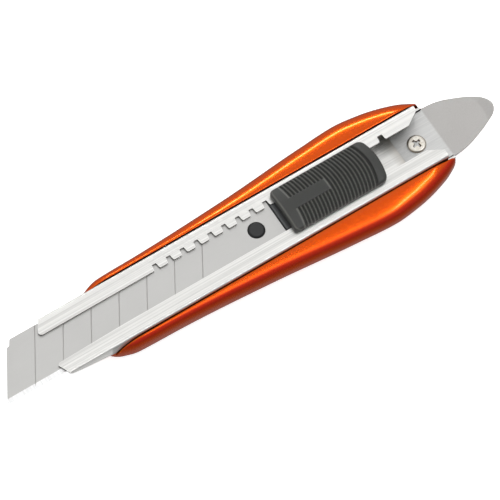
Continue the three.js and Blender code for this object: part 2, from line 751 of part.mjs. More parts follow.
addPart('grip_casting', gripCasting(), 'orangePaint');
addPart('blade_channel', bladeChannel(), 'brushedStainless');
addPart('front_channel_rivet', channelRivet(rivetXs.front), 'nickel');
addPart('middle_channel_rivet', channelRivet(rivetXs.middle), 'nickel');
addPart('tail_plate', tailPlate(), 'blastedSteel');
addPart('tail_screw', tailScrew(), 'nickel');
addPart('snap_off_blade', snapOffBlade(), 'bladeSteel');
addPart('blade_carriage', bladeCarriage(), 'blackPlastic');
addPart('slider_cap', sliderCap(), 'blackPlastic');
addPart('lock_pawl', lockPawl(), 'springSteel');
addPart('pawl_spring', pawlSpring(), 'springSteel');

export default object;
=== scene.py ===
# Auto-lock snap-off utility knife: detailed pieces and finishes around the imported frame.
import bpy
import bmesh
import math
import numpy as np
from mathutils import Matrix, Vector


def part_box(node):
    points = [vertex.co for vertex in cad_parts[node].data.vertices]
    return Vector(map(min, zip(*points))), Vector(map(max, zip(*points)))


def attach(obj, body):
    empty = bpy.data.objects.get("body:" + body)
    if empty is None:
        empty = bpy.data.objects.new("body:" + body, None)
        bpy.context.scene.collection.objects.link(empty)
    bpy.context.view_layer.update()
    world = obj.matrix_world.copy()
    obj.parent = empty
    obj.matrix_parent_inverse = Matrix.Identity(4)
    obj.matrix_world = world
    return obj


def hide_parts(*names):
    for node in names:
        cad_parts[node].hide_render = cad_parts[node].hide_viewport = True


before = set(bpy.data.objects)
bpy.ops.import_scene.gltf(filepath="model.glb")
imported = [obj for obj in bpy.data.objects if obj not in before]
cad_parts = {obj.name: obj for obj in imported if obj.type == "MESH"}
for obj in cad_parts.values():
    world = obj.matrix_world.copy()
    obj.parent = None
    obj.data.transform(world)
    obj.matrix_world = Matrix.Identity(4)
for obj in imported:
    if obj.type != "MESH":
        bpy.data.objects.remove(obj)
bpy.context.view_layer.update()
mm = 0.001
weld = 2e-6  # metres; points closer than this are one
print("frame loaded:", len(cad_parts), "nodes")


# Mesh helpers; shapes are worked out in millimetres.

def gridFaces(rows, columns, wrapColumns=False):
    # Quads (r,c) (r,c+1) (r+1,c+1) (r+1,c) of a grid numbered row by row; the last column may join the first.
    last = columns if wrapColumns else columns - 1
    r, c = np.meshgrid(np.arange(rows - 1) * columns, np.arange(last), indexing="ij")
    nextC = (c + 1) % columns
    return np.stack([r + c, r + nextC, r + columns + nextC, r + columns + c], axis=-1).reshape(-1, 4)


def shellFaces(rows, columns, keep=None):
    # Quads of a doubled grid: the outer face, the inner face turned over, and a wall wherever a kept cell
    # has no neighbour, which is where an edge i-j has no edge j-i. keep marks the cells that are there.
    count = rows * columns
    outer = gridFaces(rows, columns)
    if keep is not None:
        outer = outer[keep.reshape(-1)]
    edges = np.concatenate([outer[:, [i, (i + 1) % 4]] for i in range(4)])
    key, reverse = edges[:, 0] * count + edges[:, 1], edges[:, 1] * count + edges[:, 0]
    rim = edges[~np.isin(key, reverse)]
    walls = np.stack([rim[:, 1], rim[:, 0], rim[:, 0] + count, rim[:, 1] + count], axis=-1)
    return np.concatenate([outer, outer[:, ::-1] + count, walls])


def placeObject(name, data):
    # At the origin, in the scene.
    made = bpy.data.objects.new(name, data)
    bpy.context.scene.collection.objects.link(made)
    return made


def smoothByAngle(mesh, angle):
    mesh.shade_smooth()
    mesh.set_sharp_from_angle(angle=math.radians(angle))


def makePiece(name, points, faces, smoothAngle=40):
    # Millimetre points and face index rows become one welded object in metres, turned outwards.
    mesh = bpy.data.meshes.new(name)
    mesh.from_pydata(np.asarray(points, float).reshape(-1, 3) * mm, [], [list(map(int, f)) for f in faces])
    work = bmesh.new()
    work.from_mesh(mesh)
    bmesh.ops.remove_doubles(work, verts=work.verts, dist=weld)
    bmesh.ops.dissolve_degenerate(work, edges=work.edges, dist=weld / 2)
    bmesh.ops.delete(work, geom=[v for v in work.verts if not v.link_faces], context="VERTS")
    bmesh.ops.recalc_face_normals(work, faces=work.faces)
    if work.calc_volume(signed=True) < 0:
        bmesh.ops.reverse_faces(work, faces=work.faces)
    work.to_mesh(mesh)
    work.free()
    smoothByAngle(mesh, smoothAngle)
    return placeObject(name, mesh)


def vertexPlaces(piece):
    # Vertices as rows of X, Y, Z in millimetres.
    flat = np.empty(len(piece.data.vertices) * 3)
    piece.data.vertices.foreach_get("co", flat)
    return flat.reshape(-1, 3) / mm


def setAttribute(piece, name, values):
    # One number per vertex, for a finish to read.
    attribute = piece.data.attributes.new(name, "FLOAT", "POINT")
    attribute.data.foreach_set("value", np.asarray(values, np.float32))


def bevelEdges(piece, width, angle=35, segments=2):
    # Width in millimetres, along edges sharper than the angle.
    bevel = piece.modifiers.new("edges", "BEVEL")
    bevel.width = width * mm
    bevel.segments = segments
    bevel.limit_method = "ANGLE"
    bevel.angle_limit = math.radians(angle)
    bevel.use_clamp_overlap = True
    bevel.harden_normals = True


def copyOfNode(name, node, smoothAngle=30, flatten=0.5):
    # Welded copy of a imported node, its coplanar triangles dissolved so that a bevel runs along its real edges.
    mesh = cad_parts[node].data.copy()
    mesh.name = name
    mesh.materials.clear()
    work = bmesh.new()
    work.from_mesh(mesh)
    bmesh.ops.remove_doubles(work, verts=work.verts, dist=weld)
    bmesh.ops.dissolve_limit(work, angle_limit=math.radians(flatten), verts=work.verts, edges=work.edges)
    work.to_mesh(mesh)
    work.free()
    smoothByAngle(mesh, smoothAngle)
    return placeObject(name, mesh)


def dress(piece, body, slot, material, *nodes):
    # One material, the body it rides, its slot (not used), and the imported nodes it stands in for.
    piece.data.materials.clear()
    piece.data.materials.append(material)
    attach(piece, body)
    if nodes:
        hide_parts(*nodes)


def boxMm(node):
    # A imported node's low and high corners.
    low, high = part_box(node)
    return np.array(low) / mm, np.array(high) / mm


def ease(t):
    # 3t^2 - 2t^3, held at 0 and 1.
    t = np.clip(t, 0, 1)
    return t * t * (3 - 2 * t)


def fade(x, window):
    # Eases from 0 at the window's start to 1 after its run.
    return ease((x - window[0]) / window[1])


gripBox = boxMm("grip_casting")
channelBox = boxMm("blade_channel")
bladeBox = boxMm("snap_off_blade")
capBox = boxMm("slider_cap")
tailBox = boxMm("tail_plate")
screwBox = boxMm("tail_screw")


# Node helpers, and the groups that several materials share.

def feed(tree, socket, value):
    # A socket takes a link or a plain value.
    if isinstance(value, bpy.types.NodeSocket):
        tree.links.new(value, socket)
    else:
        socket.default_value = value


def addNode(tree, kind, inputs=None, **settings):
    # Adds a node, sets its properties, and fills each named input with a value or a link.
    node = tree.nodes.new(kind)
    for key, value in settings.items():
        setattr(node, key, value)
    for key, value in (inputs or {}).items():
        feed(tree, node.inputs[key], value)
    return node


def mathNode(tree, operation, a, b=0.0, c=0.0, clamp=False):
    node = addNode(tree, "ShaderNodeMath", operation=operation, use_clamp=clamp)
    for socket, value in zip(node.inputs, (a, b, c)):
        feed(tree, socket, value)
    return node.outputs[0]


def mixColor(tree, factor, a, b):
    # Inputs 6 and 7 and output 2 are the Mix node's colour sockets.
    node = addNode(tree, "ShaderNodeMix", {0: factor}, data_type="RGBA")
    feed(tree, node.inputs[6], a)
    feed(tree, node.inputs[7], b)
    return node.outputs[2]


def layOver(tree, tone, mask, share, color):
    # Lays a colour over the tone: factor = mask x share.
    return mixColor(tree, mathNode(tree, "MULTIPLY", mask, share), tone, (*color, 1))


def ramp(tree, factor, stops):
    # Stops are (place, grey value or colour).
    node = addNode(tree, "ShaderNodeValToRGB", {0: factor})
    elements = node.color_ramp.elements
    while len(elements) < len(stops):
        elements.new(0.5)
    for element, (place, value) in zip(elements, stops):
        element.position = place
        element.color = (value, value, value, 1) if isinstance(value, (int, float)) else (*value, 1)
    return node.outputs[0]


def remap(tree, value, low, high, atLow=0.0, atHigh=1.0, curve="LINEAR"):
    # low..high is taken to atLow..atHigh and held there beyond.
    limits = {"Value": value, "From Min": low, "From Max": high, "To Min": atLow, "To Max": atHigh}
    return addNode(tree, "ShaderNodeMapRange", limits, interpolation_type=curve).outputs["Result"]


def noise(tree, vector, scale=1.0, detail=2.0, roughness=0.5):
    settings = {"Vector": vector, "Scale": scale, "Detail": detail, "Roughness": roughness}
    return addNode(tree, "ShaderNodeTexNoise", settings).outputs["Fac"]


def scaleVector(tree, vector, factors):
    return addNode(tree, "ShaderNodeVectorMath", {0: vector, 1: factors}, operation="MULTIPLY").outputs[0]


def dotProduct(tree, a, b):
    return addNode(tree, "ShaderNodeVectorMath", {0: a, 1: b}, operation="DOT_PRODUCT").outputs["Value"]


def axesOf(tree, vector):
    return addNode(tree, "ShaderNodeSeparateXYZ", {0: vector}).outputs


def objectPlace(tree):
    return addNode(tree, "ShaderNodeTexCoord").outputs["Object"]


def surfaceNormal(tree):
    return addNode(tree, "ShaderNodeNewGeometry").outputs["Normal"]


def attributeMask(tree, name):
    # The vertex numbers that setAttribute left on the piece.
    return addNode(tree, "ShaderNodeAttribute", attribute_name=name).outputs["Fac"]


def newGroup(name, inputs, outputs):
    # Inputs are name and default value; every socket is a float.
    group = bpy.data.node_groups.new(name, "ShaderNodeTree")
    for socket, value in inputs.items():
        made = group.interface.new_socket(name=socket, in_out="INPUT", socket_type="NodeSocketFloat")
        made.default_value = value
    for socket in outputs:
        group.interface.new_socket(name=socket, in_out="OUTPUT", socket_type="NodeSocketFloat")
    return group, group.nodes.new("NodeGroupInput").outputs, group.nodes.new("NodeGroupOutput").inputs


def brushedGroup():
    # Fine scratches drawn out along X: noise squeezed across Y and Z, in two sizes.
    tree, inside, outside = newGroup("brushed grain", {"Along": 40.0, "Across": 6000.0}, ["Mask", "Coarse"])
    scale = addNode(tree, "ShaderNodeCombineXYZ",
                    {"X": inside["Along"], "Y": inside["Across"], "Z": inside["Across"]})
    stretched = scaleVector(tree, objectPlace(tree), scale.outputs[0])
    wide = scaleVector(tree, stretched, (0.35, 0.4, 0.4))
    tree.links.new(noise(tree, stretched, detail=3.0, roughness=0.6), outside["Mask"])
    tree.links.new(noise(tree, wide), outside["Coarse"])
    return tree


def mottleGroup():
    # Soft cloudy variation and fine speckle, for handled and cast surfaces.
    tree, inside, outside = newGroup("mottle", {"Cloud": 60.0, "Speckle": 9000.0}, ["Cloud", "Speckle"])
    place = objectPlace(tree)
    tree.links.new(noise(tree, place, inside["Cloud"], 4.0), outside["Cloud"])
    tree.links.new(noise(tree, place, inside["Speckle"], 2.0), outside["Speckle"])
    return tree


def edgeHighlightGroup():
    # Mask of convex edges, from how far a bevelled normal leans from the true one; it places painted highlights.
    tree, inside, outside = newGroup("edge highlight", {"Radius": 0.0002, "Gain": 4.0}, ["Mask"])
    rounded = addNode(tree, "ShaderNodeBevel", {"Radius": inside["Radius"]}, samples=4).outputs[0]
    off = mathNode(tree, "SUBTRACT", 1.0, dotProduct(tree, rounded, surfaceNormal(tree)))
    tree.links.new(mathNode(tree, "MULTIPLY", off, inside["Gain"], clamp=True), outside["Mask"])
    return tree


brushed, mottle, edgeHighlight = brushedGroup(), mottleGroup(), edgeHighlightGroup()


def groupNode(tree, group, **values):
    node = addNode(tree, "ShaderNodeGroup", node_tree=group)
    for key, value in values.items():
        node.inputs[key].default_value = value
    return node.outputs


def newMaterial(name, **sockets):
    # Socket names are written with underscores for spaces.
    material = bpy.data.materials.new(name)
    material.use_nodes = True
    shader = material.node_tree.nodes["Principled BSDF"]
    for key, value in sockets.items():
        shader.inputs[key.replace("_", " ")].default_value = value
    return material, material.node_tree, shader


def finishSurface(tree, shader, tone, mask, spread, least, strength=0.0, depth=0.0, height=None):
    # Tone; roughness = least + spread x mask; and a bump from the mask, or from its own height.
    tree.links.new(tone, shader.inputs["Base Color"])
    tree.links.new(mathNode(tree, "MULTIPLY_ADD", mask, spread, least), shader.inputs["Roughness"])
    if strength:
        bump = addNode(tree, "ShaderNodeBump", {"Height": mask if height is None else height,
                                                "Strength": strength, "Distance": depth})
        tree.links.new(bump.outputs[0], shader.inputs["Normal"])


# The grip's tunables stand up here because the finishes follow its rim too.

grip = {
    "grooveGap": 0.4,
    "rimGap": 0.4,  # the groove's mouth stands this much further out
    "floorGap": 0.3,
    "cuttingRimIn": 0.27,  # the cutting side stands this much closer to the channel, at the rim and beyond it
    "cuttingSideIn": 0.2,
    "equator": 6.8,  # height of the widest line
    "rimDrop": 1.3,  # rim below the lips' upper face
    "rimRound": 0.4,
    "fullness": 3.8,  # superellipse exponent above the equator
    "frontFullness": 0.8,  # added towards the front
    "belly": 2.3,  # exponent below it
    "bellyOverrun": 0.5,
    "noseLength": 12.0,
    "noseDrop": 5.4,  # the rim sinks this far at the front, by the power below
    "nosePower": 2.3,
    "tailDrop": 1.7,
    "tailDropLength": 10.0,
    "endRound": 1.8,
    # reach of the side beyond the groove, at distances from the front end and from the rear end
    "frontReach": [(0, -1.2), (4, 1.35), (9, 2.65), (24, 3.05), (56, 4.85)],
    "rearReach": [(40, 7.45), (27, 8.25), (18, 7.3), (6, 4.05), (0, 0.95)],
    "shadedGrooveFrom": 3.5,  # the groove's painted shade, from either end
    "shadedGrooveTo": 1.6,
    "troughHalf": 8.0,
    "backWall": 1.6,
    "troughFront": 20.0,
    "troughRear": 4.0,
    "stations": 240,
    "crowding": 0.11,  # stations crowd towards both ends
    "stepHalf": 0.02,  # half the run of a step in the trough
    "around": 40,
    "roundSteps": 6,
    "equatorDrop": 1.3,  # at the nose
    "bellyLift": 0.62,
    "bellyLiftPower": 2.2,
    "fullFrom": 20.0,
    "fullRun": 50.0,
    "endTuck": 0.45,  # shares of the rounded ends' curve, sideways and upwards
    "endLift": 0.6,
    "leastWall": 0.06,
    "roundShare": 0.4,
    "rimNear": 1.6,  # how far the cutting side's two shifts spread, and where along X they fade in and out
    "sideNear": 1.5,
    "rimFadeIn": (3.0, 8.0),
    "sideFadeIn": (0.0, 4.0),
    "sideFadeOut": (30.0, 40.0),
    "ribShift": 1.8,
    "ribHalf": 0.9,
    "bossHalf": 3.6,
}


# Materials

paintLook = {
    "base": (0.70, 0.076, 0.0002),
    "cloud": (0.65, 0.064, 0.0002),
    "shadedFlank": (0.62, 0.012, 0.006),  # painted shade: deep red on the steep sides
    # how much of it, by the normal's Z
    "shadedFlankAt": [(0.0, 0.0), (0.40, 0.1), (0.65, 0.7), (0.82, 1.0), (0.89, 0.8), (0.95, 0.0)],
    "shadeFrom": -0.1,  # by the normal's Y, less painted shade on the spine side, which faces the key light
    "shadeTo": 0.3,
    "spineShadeShare": 0.05,
    "glint": (0.95, 0.22, 0.004),
    "glintShare": 0.22,
    "thin": (1.0, 0.26, 0.01),
    "thinShare": 0.85,
    "rough": 0.10,
    "coat": 0.25,
    "coatRough": 0.04,
}


def orangePaint():
    # Candy lacquer over fine aluminium flake: colour clouds a little, flake glints, smooth clear coat.
    look = paintLook
    material, tree, shader = newMaterial("orange candy paint", Metallic=0.96, Coat_Weight=look["coat"],
                                         Coat_Roughness=look["coatRough"], Coat_IOR=1.5)
    casting = groupNode(tree, mottle, Cloud=45.0, Speckle=5200.0)
    flake = ramp(tree, casting["Speckle"], [(0.50, 0.0), (0.66, 1.0)])
    tone = layOver(tree, (*look["base"], 1), casting["Cloud"], 0.6, look["cloud"])
    lean = axesOf(tree, surfaceNormal(tree))
    # painted shade: steep sides are mixed towards deep red, least on the spine side
    steep = ramp(tree, lean["Z"], look["shadedFlankAt"])
    awayFromKey = remap(tree, lean["Y"], look["shadeFrom"], look["shadeTo"], 1.0, look["spineShadeShare"])
    tone = mixColor(tree, mathNode(tree, "MULTIPLY", steep, awayFromKey), tone, (*look["shadedFlank"], 1))
    tone = layOver(tree, tone, flake, look["glintShare"], look["glint"])
    # lacquer runs thin over the rims and shows the bright casting
    # painted highlight: bright orange along the rims and convex edges
    thin = groupNode(tree, edgeHighlight, Radius=0.0006, Gain=7.0)["Mask"]
    tone = layOver(tree, tone, thin, look["thinShare"], look["thin"])
    finishSurface(tree, shader, tone, casting["Speckle"], 0.12, look["rough"], 0.05, 0.00003)
    return material


sheetLook = {
    "dark": (0.61, 0.606, 0.585),
    "light": (0.85, 0.845, 0.82),
    "scratch": (0.97, 0.965, 0.94),
    "foldHighlight": (1.0, 1.0, 0.99),
    "plateFrontDark": (0.30, 0.255, 0.20),
    "plateFrontRun": 3.2,  # the floor is darkened brown this far before the tail plate, this high above its top
    "plateFrontHigh": 2.0,
    "cutEdgeShade": (0.10, 0.095, 0.085),
    "cutDeep": 0.78,  # the lips' sheared edges lie this close under the top, and this far in from the walls
    "cutIn": 0.9,
    "grooveWallShade": (0.03, 0.028, 0.026),
    "grooveWallShadeUnder": 0.15,
    "openNose": 0.6,
}


def brushedStainless():
    # Sheet brushed along its length: streaked tone and roughness, with the scratches as bump.
    look = sheetLook
    material, tree, shader = newMaterial("brushed stainless")
    grain = groupNode(tree, brushed, Along=26.0, Across=5200.0)
    tone = ramp(tree, grain["Coarse"], [(0.33, look["dark"]), (0.67, look["light"])])
    tone = layOver(tree, tone, grain["Mask"], 0.32, look["scratch"])
    # painted highlight on the folds and edges; painted shade on the sheared edges of the lips
    folds = groupNode(tree, edgeHighlight, Radius=0.00035, Gain=6.0)["Mask"]
    tone = layOver(tree, tone, folds, 0.6, look["foldHighlight"])
    # the floor is darkened brown, patchily, just before the tail plate's front edge
    place = axesOf(tree, objectPlace(tree))
    plateEdge, plateFrontTop = tailBox[0][0] * mm, (tailBox[0][2] + look["plateFrontHigh"]) * mm
    near = remap(tree, place["X"], plateEdge - look["plateFrontRun"] * mm, plateEdge)
    low = mathNode(tree, "LESS_THAN", place["Z"], plateFrontTop)
    patchy = mathNode(tree, "MULTIPLY_ADD", grain["Coarse"], 0.5, 0.2)
    tone = layOver(tree, tone, mathNode(tree, "MULTIPLY", near, low), patchy, look["plateFrontDark"])
    flat = mathNode(tree, "ABSOLUTE", axesOf(tree, surfaceNormal(tree))["Z"])
    top, side = channelBox[1][2], channelBox[1][1]
    cut = mathNode(tree, "MULTIPLY", mathNode(tree, "LESS_THAN", flat, 0.5),
                   mathNode(tree, "GREATER_THAN", place["Z"], (top - look["cutDeep"]) * mm))
    cut = mathNode(tree, "MULTIPLY", cut, mathNode(tree, "LESS_THAN", mathNode(tree, "ABSOLUTE", place["Y"]),
                                                   (side - look["cutIn"]) * mm))
    # painted shade: the lips' sheared edges are darkened
    tone = layOver(tree, tone, cut, 0.85, look["cutEdgeShade"])
    # painted shade: the walls are darkened down in the casting's groove, below the line of its rim
    noseFrom = gripBox[0][0]
    behindNose = mathNode(tree, "GREATER_THAN", place["X"], (noseFrom + look["openNose"]) * mm)
    nose = remap(tree, place["X"], noseFrom * mm, (noseFrom + grip["noseLength"]) * mm, 1.0, 0.0)
    rimHeight = mathNode(tree, "MULTIPLY_ADD", mathNode(tree, "POWER", nose, grip["nosePower"]),
                         -grip["noseDrop"] * mm, (top - grip["rimDrop"] - look["grooveWallShadeUnder"]) * mm)
    grooveWallShade = mathNode(tree, "MULTIPLY", behindNose, mathNode(tree, "LESS_THAN", flat, 0.7))
    grooveWallShade = mathNode(tree, "MULTIPLY", grooveWallShade, mathNode(tree, "LESS_THAN", place["Z"], rimHeight))
    tone = layOver(tree, tone, grooveWallShade, 0.9, look["grooveWallShade"])
    # upright walls behind the nose lose their mirror
    bright = mathNode(tree, "MULTIPLY_ADD", behindNose, 0.5, 0.45)
    tree.links.new(mathNode(tree, "MULTIPLY_ADD", flat, 0.9, bright, clamp=True), shader.inputs["Metallic"])
    finishSurface(tree, shader, tone, grain["Mask"], 0.22, 0.26, 0.22, 0.00004)
    return material


def bladeSteel():
    # Rolled strip with a matt etched face, faint cross scratches and cloudy oil film.
    material, tree, shader = newMaterial("blade steel", Metallic=0.85)
    grain = groupNode(tree, brushed, Along=300.0, Across=2600.0)
    film = groupNode(tree, mottle, Cloud=70.0, Speckle=7000.0)
    tone = ramp(tree, film["Cloud"], [(0.3, (0.565, 0.56, 0.545)), (0.7, (0.585, 0.58, 0.565))])
    tone = layOver(tree, tone, grain["Mask"], 0.12, (0.78, 0.78, 0.77))
    finishSurface(tree, shader, tone, film["Speckle"], 0.12, 0.27, 0.12, 0.00003)
    return material


def groundSteel():
    # Ground cutting bevel with close grinding lines across the edge; its bright tone is partly the ground finish
    # and partly painted highlight.
    material, tree, shader = newMaterial("ground edge", Metallic=0.9)
    lines = noise(tree, scaleVector(tree, objectPlace(tree), (3200.0, 120.0, 120.0)))
    tone = ramp(tree, lines, [(0.35, 0.80), (0.65, 0.95)])
    finishSurface(tree, shader, tone, lines, 0.2, 0.32, 0.2, 0.00002)
    return material


def tailPlateSteel():
    # Pitted steel plate, slightly warm; painted shade: the part outside the channel is darker than the brighter
    # part inside, though both are one plate.
    material, tree, shader = newMaterial("tail plate steel", Metallic=0.8)
    pits = groupNode(tree, mottle, Cloud=120.0, Speckle=6500.0)
    tone = ramp(tree, pits["Speckle"], [(0.35, (0.47, 0.457, 0.443)), (0.65, (0.535, 0.522, 0.508))])
    grain = groupNode(tree, brushed, Along=90.0, Across=3000.0)
    litInside = ramp(tree, grain["Mask"], [(0.3, (0.60, 0.60, 0.59)), (0.7, (0.70, 0.70, 0.69))])
    crease, fade = (channelBox[1][0] + 0.1) * mm, 0.3 * mm
    outside = remap(tree, axesOf(tree, objectPlace(tree))["X"], crease - fade, crease + fade)
    # painted shade outside the channel, painted light inside it
    tone = mixColor(tree, outside, litInside, tone)
    finishSurface(tree, shader, tone, pits["Cloud"], 0.14, 0.46, 0.25, 0.00004, height=pits["Speckle"])
    return material


def warmNickel():
    # Nickel plate on the screw and rivets: satin, brown in the recess and round the rim.
    material, tree, shader = newMaterial("warm nickel", Metallic=0.95)
    plate = groupNode(tree, mottle, Cloud=900.0, Speckle=6000.0)
    tone = ramp(tree, plate["Cloud"], [(0.35, (0.70, 0.65, 0.57)), (0.65, (0.88, 0.85, 0.78))])
    recessAndRimTone = ramp(tree, attributeMask(tree, "sunk"), [(0.0, 0.0), (0.10, 0.95), (0.62, 0.9), (0.85, 0.0)])
    tone = mixColor(tree, recessAndRimTone, tone, (0.16, 0.105, 0.055, 1))
    finishSurface(tree, shader, tone, plate["Speckle"], 0.2, 0.2, 0.1, 0.00003)
    return material


plasticLook = {
    # painted shade in the rib grooves; painted highlights on the crests and edges
    "ribGrooveShade": (0.006, 0.007, 0.005),
    "crestHighlight": (0.165, 0.166, 0.152),
    "edge": (0.13, 0.13, 0.12),
    # painted reflection on the carriage just ahead of the cap
    "neck": (0.098, 0.102, 0.106),
    "neckRise": (2.0, 2.5),  # along X in millimetres
    "neckFall": (3.818, 5.636),
}


def mouldedPlastic(name, dark, light, rough, pits, ribbed=False, neck=False):
    # Moulded plastic: spark-eroded texture as fine bump, tone a touch uneven from handling.
    look = plasticLook
    material, tree, shader = newMaterial(name, Metallic=0.0, IOR=1.46)
    skin = groupNode(tree, mottle, Cloud=130.0, Speckle=4200.0)
    tone = ramp(tree, skin["Cloud"], [(0.3, dark), (0.7, light)])
    if ribbed:
        # painted highlight on the rib crests, front edge and convex edges; painted shade down in the grooves
        edges = groupNode(tree, edgeHighlight, Radius=0.0004, Gain=5.0)["Mask"]
        tone = layOver(tree, tone, attributeMask(tree, "sunk"), 0.95, look["ribGrooveShade"])
        tone = layOver(tree, tone, attributeMask(tree, "crestAndEdgeHighlight"), 0.9, look["crestHighlight"])
        tone = layOver(tree, tone, edges, 0.7, look["edge"])
    if neck:
        # painted reflection: a lighter grey strip on the plastic just ahead of the cap
        x = axesOf(tree, objectPlace(tree))["X"]
        rise, fall = [[at * mm for at in look[key]] for key in ("neckRise", "neckFall")]
        paintedSheen = mathNode(tree, "MINIMUM", remap(tree, x, *rise), remap(tree, x, *fall, 1.0, 0.0))
        tone = mixColor(tree, paintedSheen, tone, (*look["neck"], 1))
    finishSurface(tree, shader, tone, skin["Speckle"], 0.2, rough, pits, 0.00005)
    return material


def springSteel():
    # Hardened strip, satin with a faint blue-grey temper.
    material, tree, shader = newMaterial("spring steel", Metallic=1.0)
    grain = groupNode(tree, brushed, Along=200.0, Across=3800.0)
    tone = ramp(tree, grain["Coarse"], [(0.3, (0.36, 0.38, 0.42)), (0.7, (0.50, 0.51, 0.54))])
    finishSurface(tree, shader, tone, grain["Mask"], 0.2, 0.25)
    return material


finish = {
    "paint": orangePaint(),
    "channel": brushedStainless(),
    "blade": bladeSteel(),
    "edge": groundSteel(),
    "tail": tailPlateSteel(),
    "nickel": warmNickel(),
    "cap": mouldedPlastic("slider plastic", (0.038, 0.039, 0.036), (0.046, 0.047, 0.043), 0.30, 0.18,
                          ribbed=True),
    "carriage": mouldedPlastic("carriage plastic", (0.016, 0.017, 0.017), (0.024, 0.025, 0.026), 0.24, 0.08,
                               neck=True),
    "spring": springSteel(),
    # painted shade for the grip's groove
    "groove": mouldedPlastic("groove shade", (0.010, 0.009, 0.009), (0.018, 0.016, 0.015), 0.65, 0.2),
}
print("materials made:", len(finish))


# Grip

def smoothCurve(knotX, knotY, x):
    # Cubic through the knots, each knot's slope the harmonic mean of its neighbours' slopes (no overshoot).
    knotX, knotY = np.asarray(knotX, float), np.asarray(knotY, float)
    step = np.diff(knotX)
    slope = np.diff(knotY) / step
    tangent = np.zeros_like(knotY)
    same = slope[:-1] * slope[1:] > 0
    wA, wB = 2 * step[1:] + step[:-1], step[1:] + 2 * step[:-1]
    with np.errstate(divide="ignore", invalid="ignore"):
        mean = (wA + wB) / (wA / slope[:-1] + wB / slope[1:])
    tangent[1:-1] = np.where(same, mean, 0)
    tangent[0], tangent[-1] = slope[0], slope[-1]
    i = np.clip(np.searchsorted(knotX, x) - 1, 0, len(step) - 1)
    t = (x - knotX[i]) / step[i]
    a, b = knotY[i], knotY[i + 1]
    return (a * (1 + 2 * t) * (1 - t) ** 2 + tangent[i] * step[i] * t * (1 - t) ** 2
            + b * t * t * (3 - 2 * t) + tangent[i + 1] * step[i] * t * t * (t - 1))


rampRun, rampSlope = 24.63, math.radians(10.5)


def rampHeight(x):
    # Underside of the channel: level, then rising towards the front, z = bottom + max(0, start - x) tan(slope).
    start = channelBox[0][0] + rampRun
    return channelBox[0][2] + np.maximum(0, start - x) * math.tan(rampSlope)


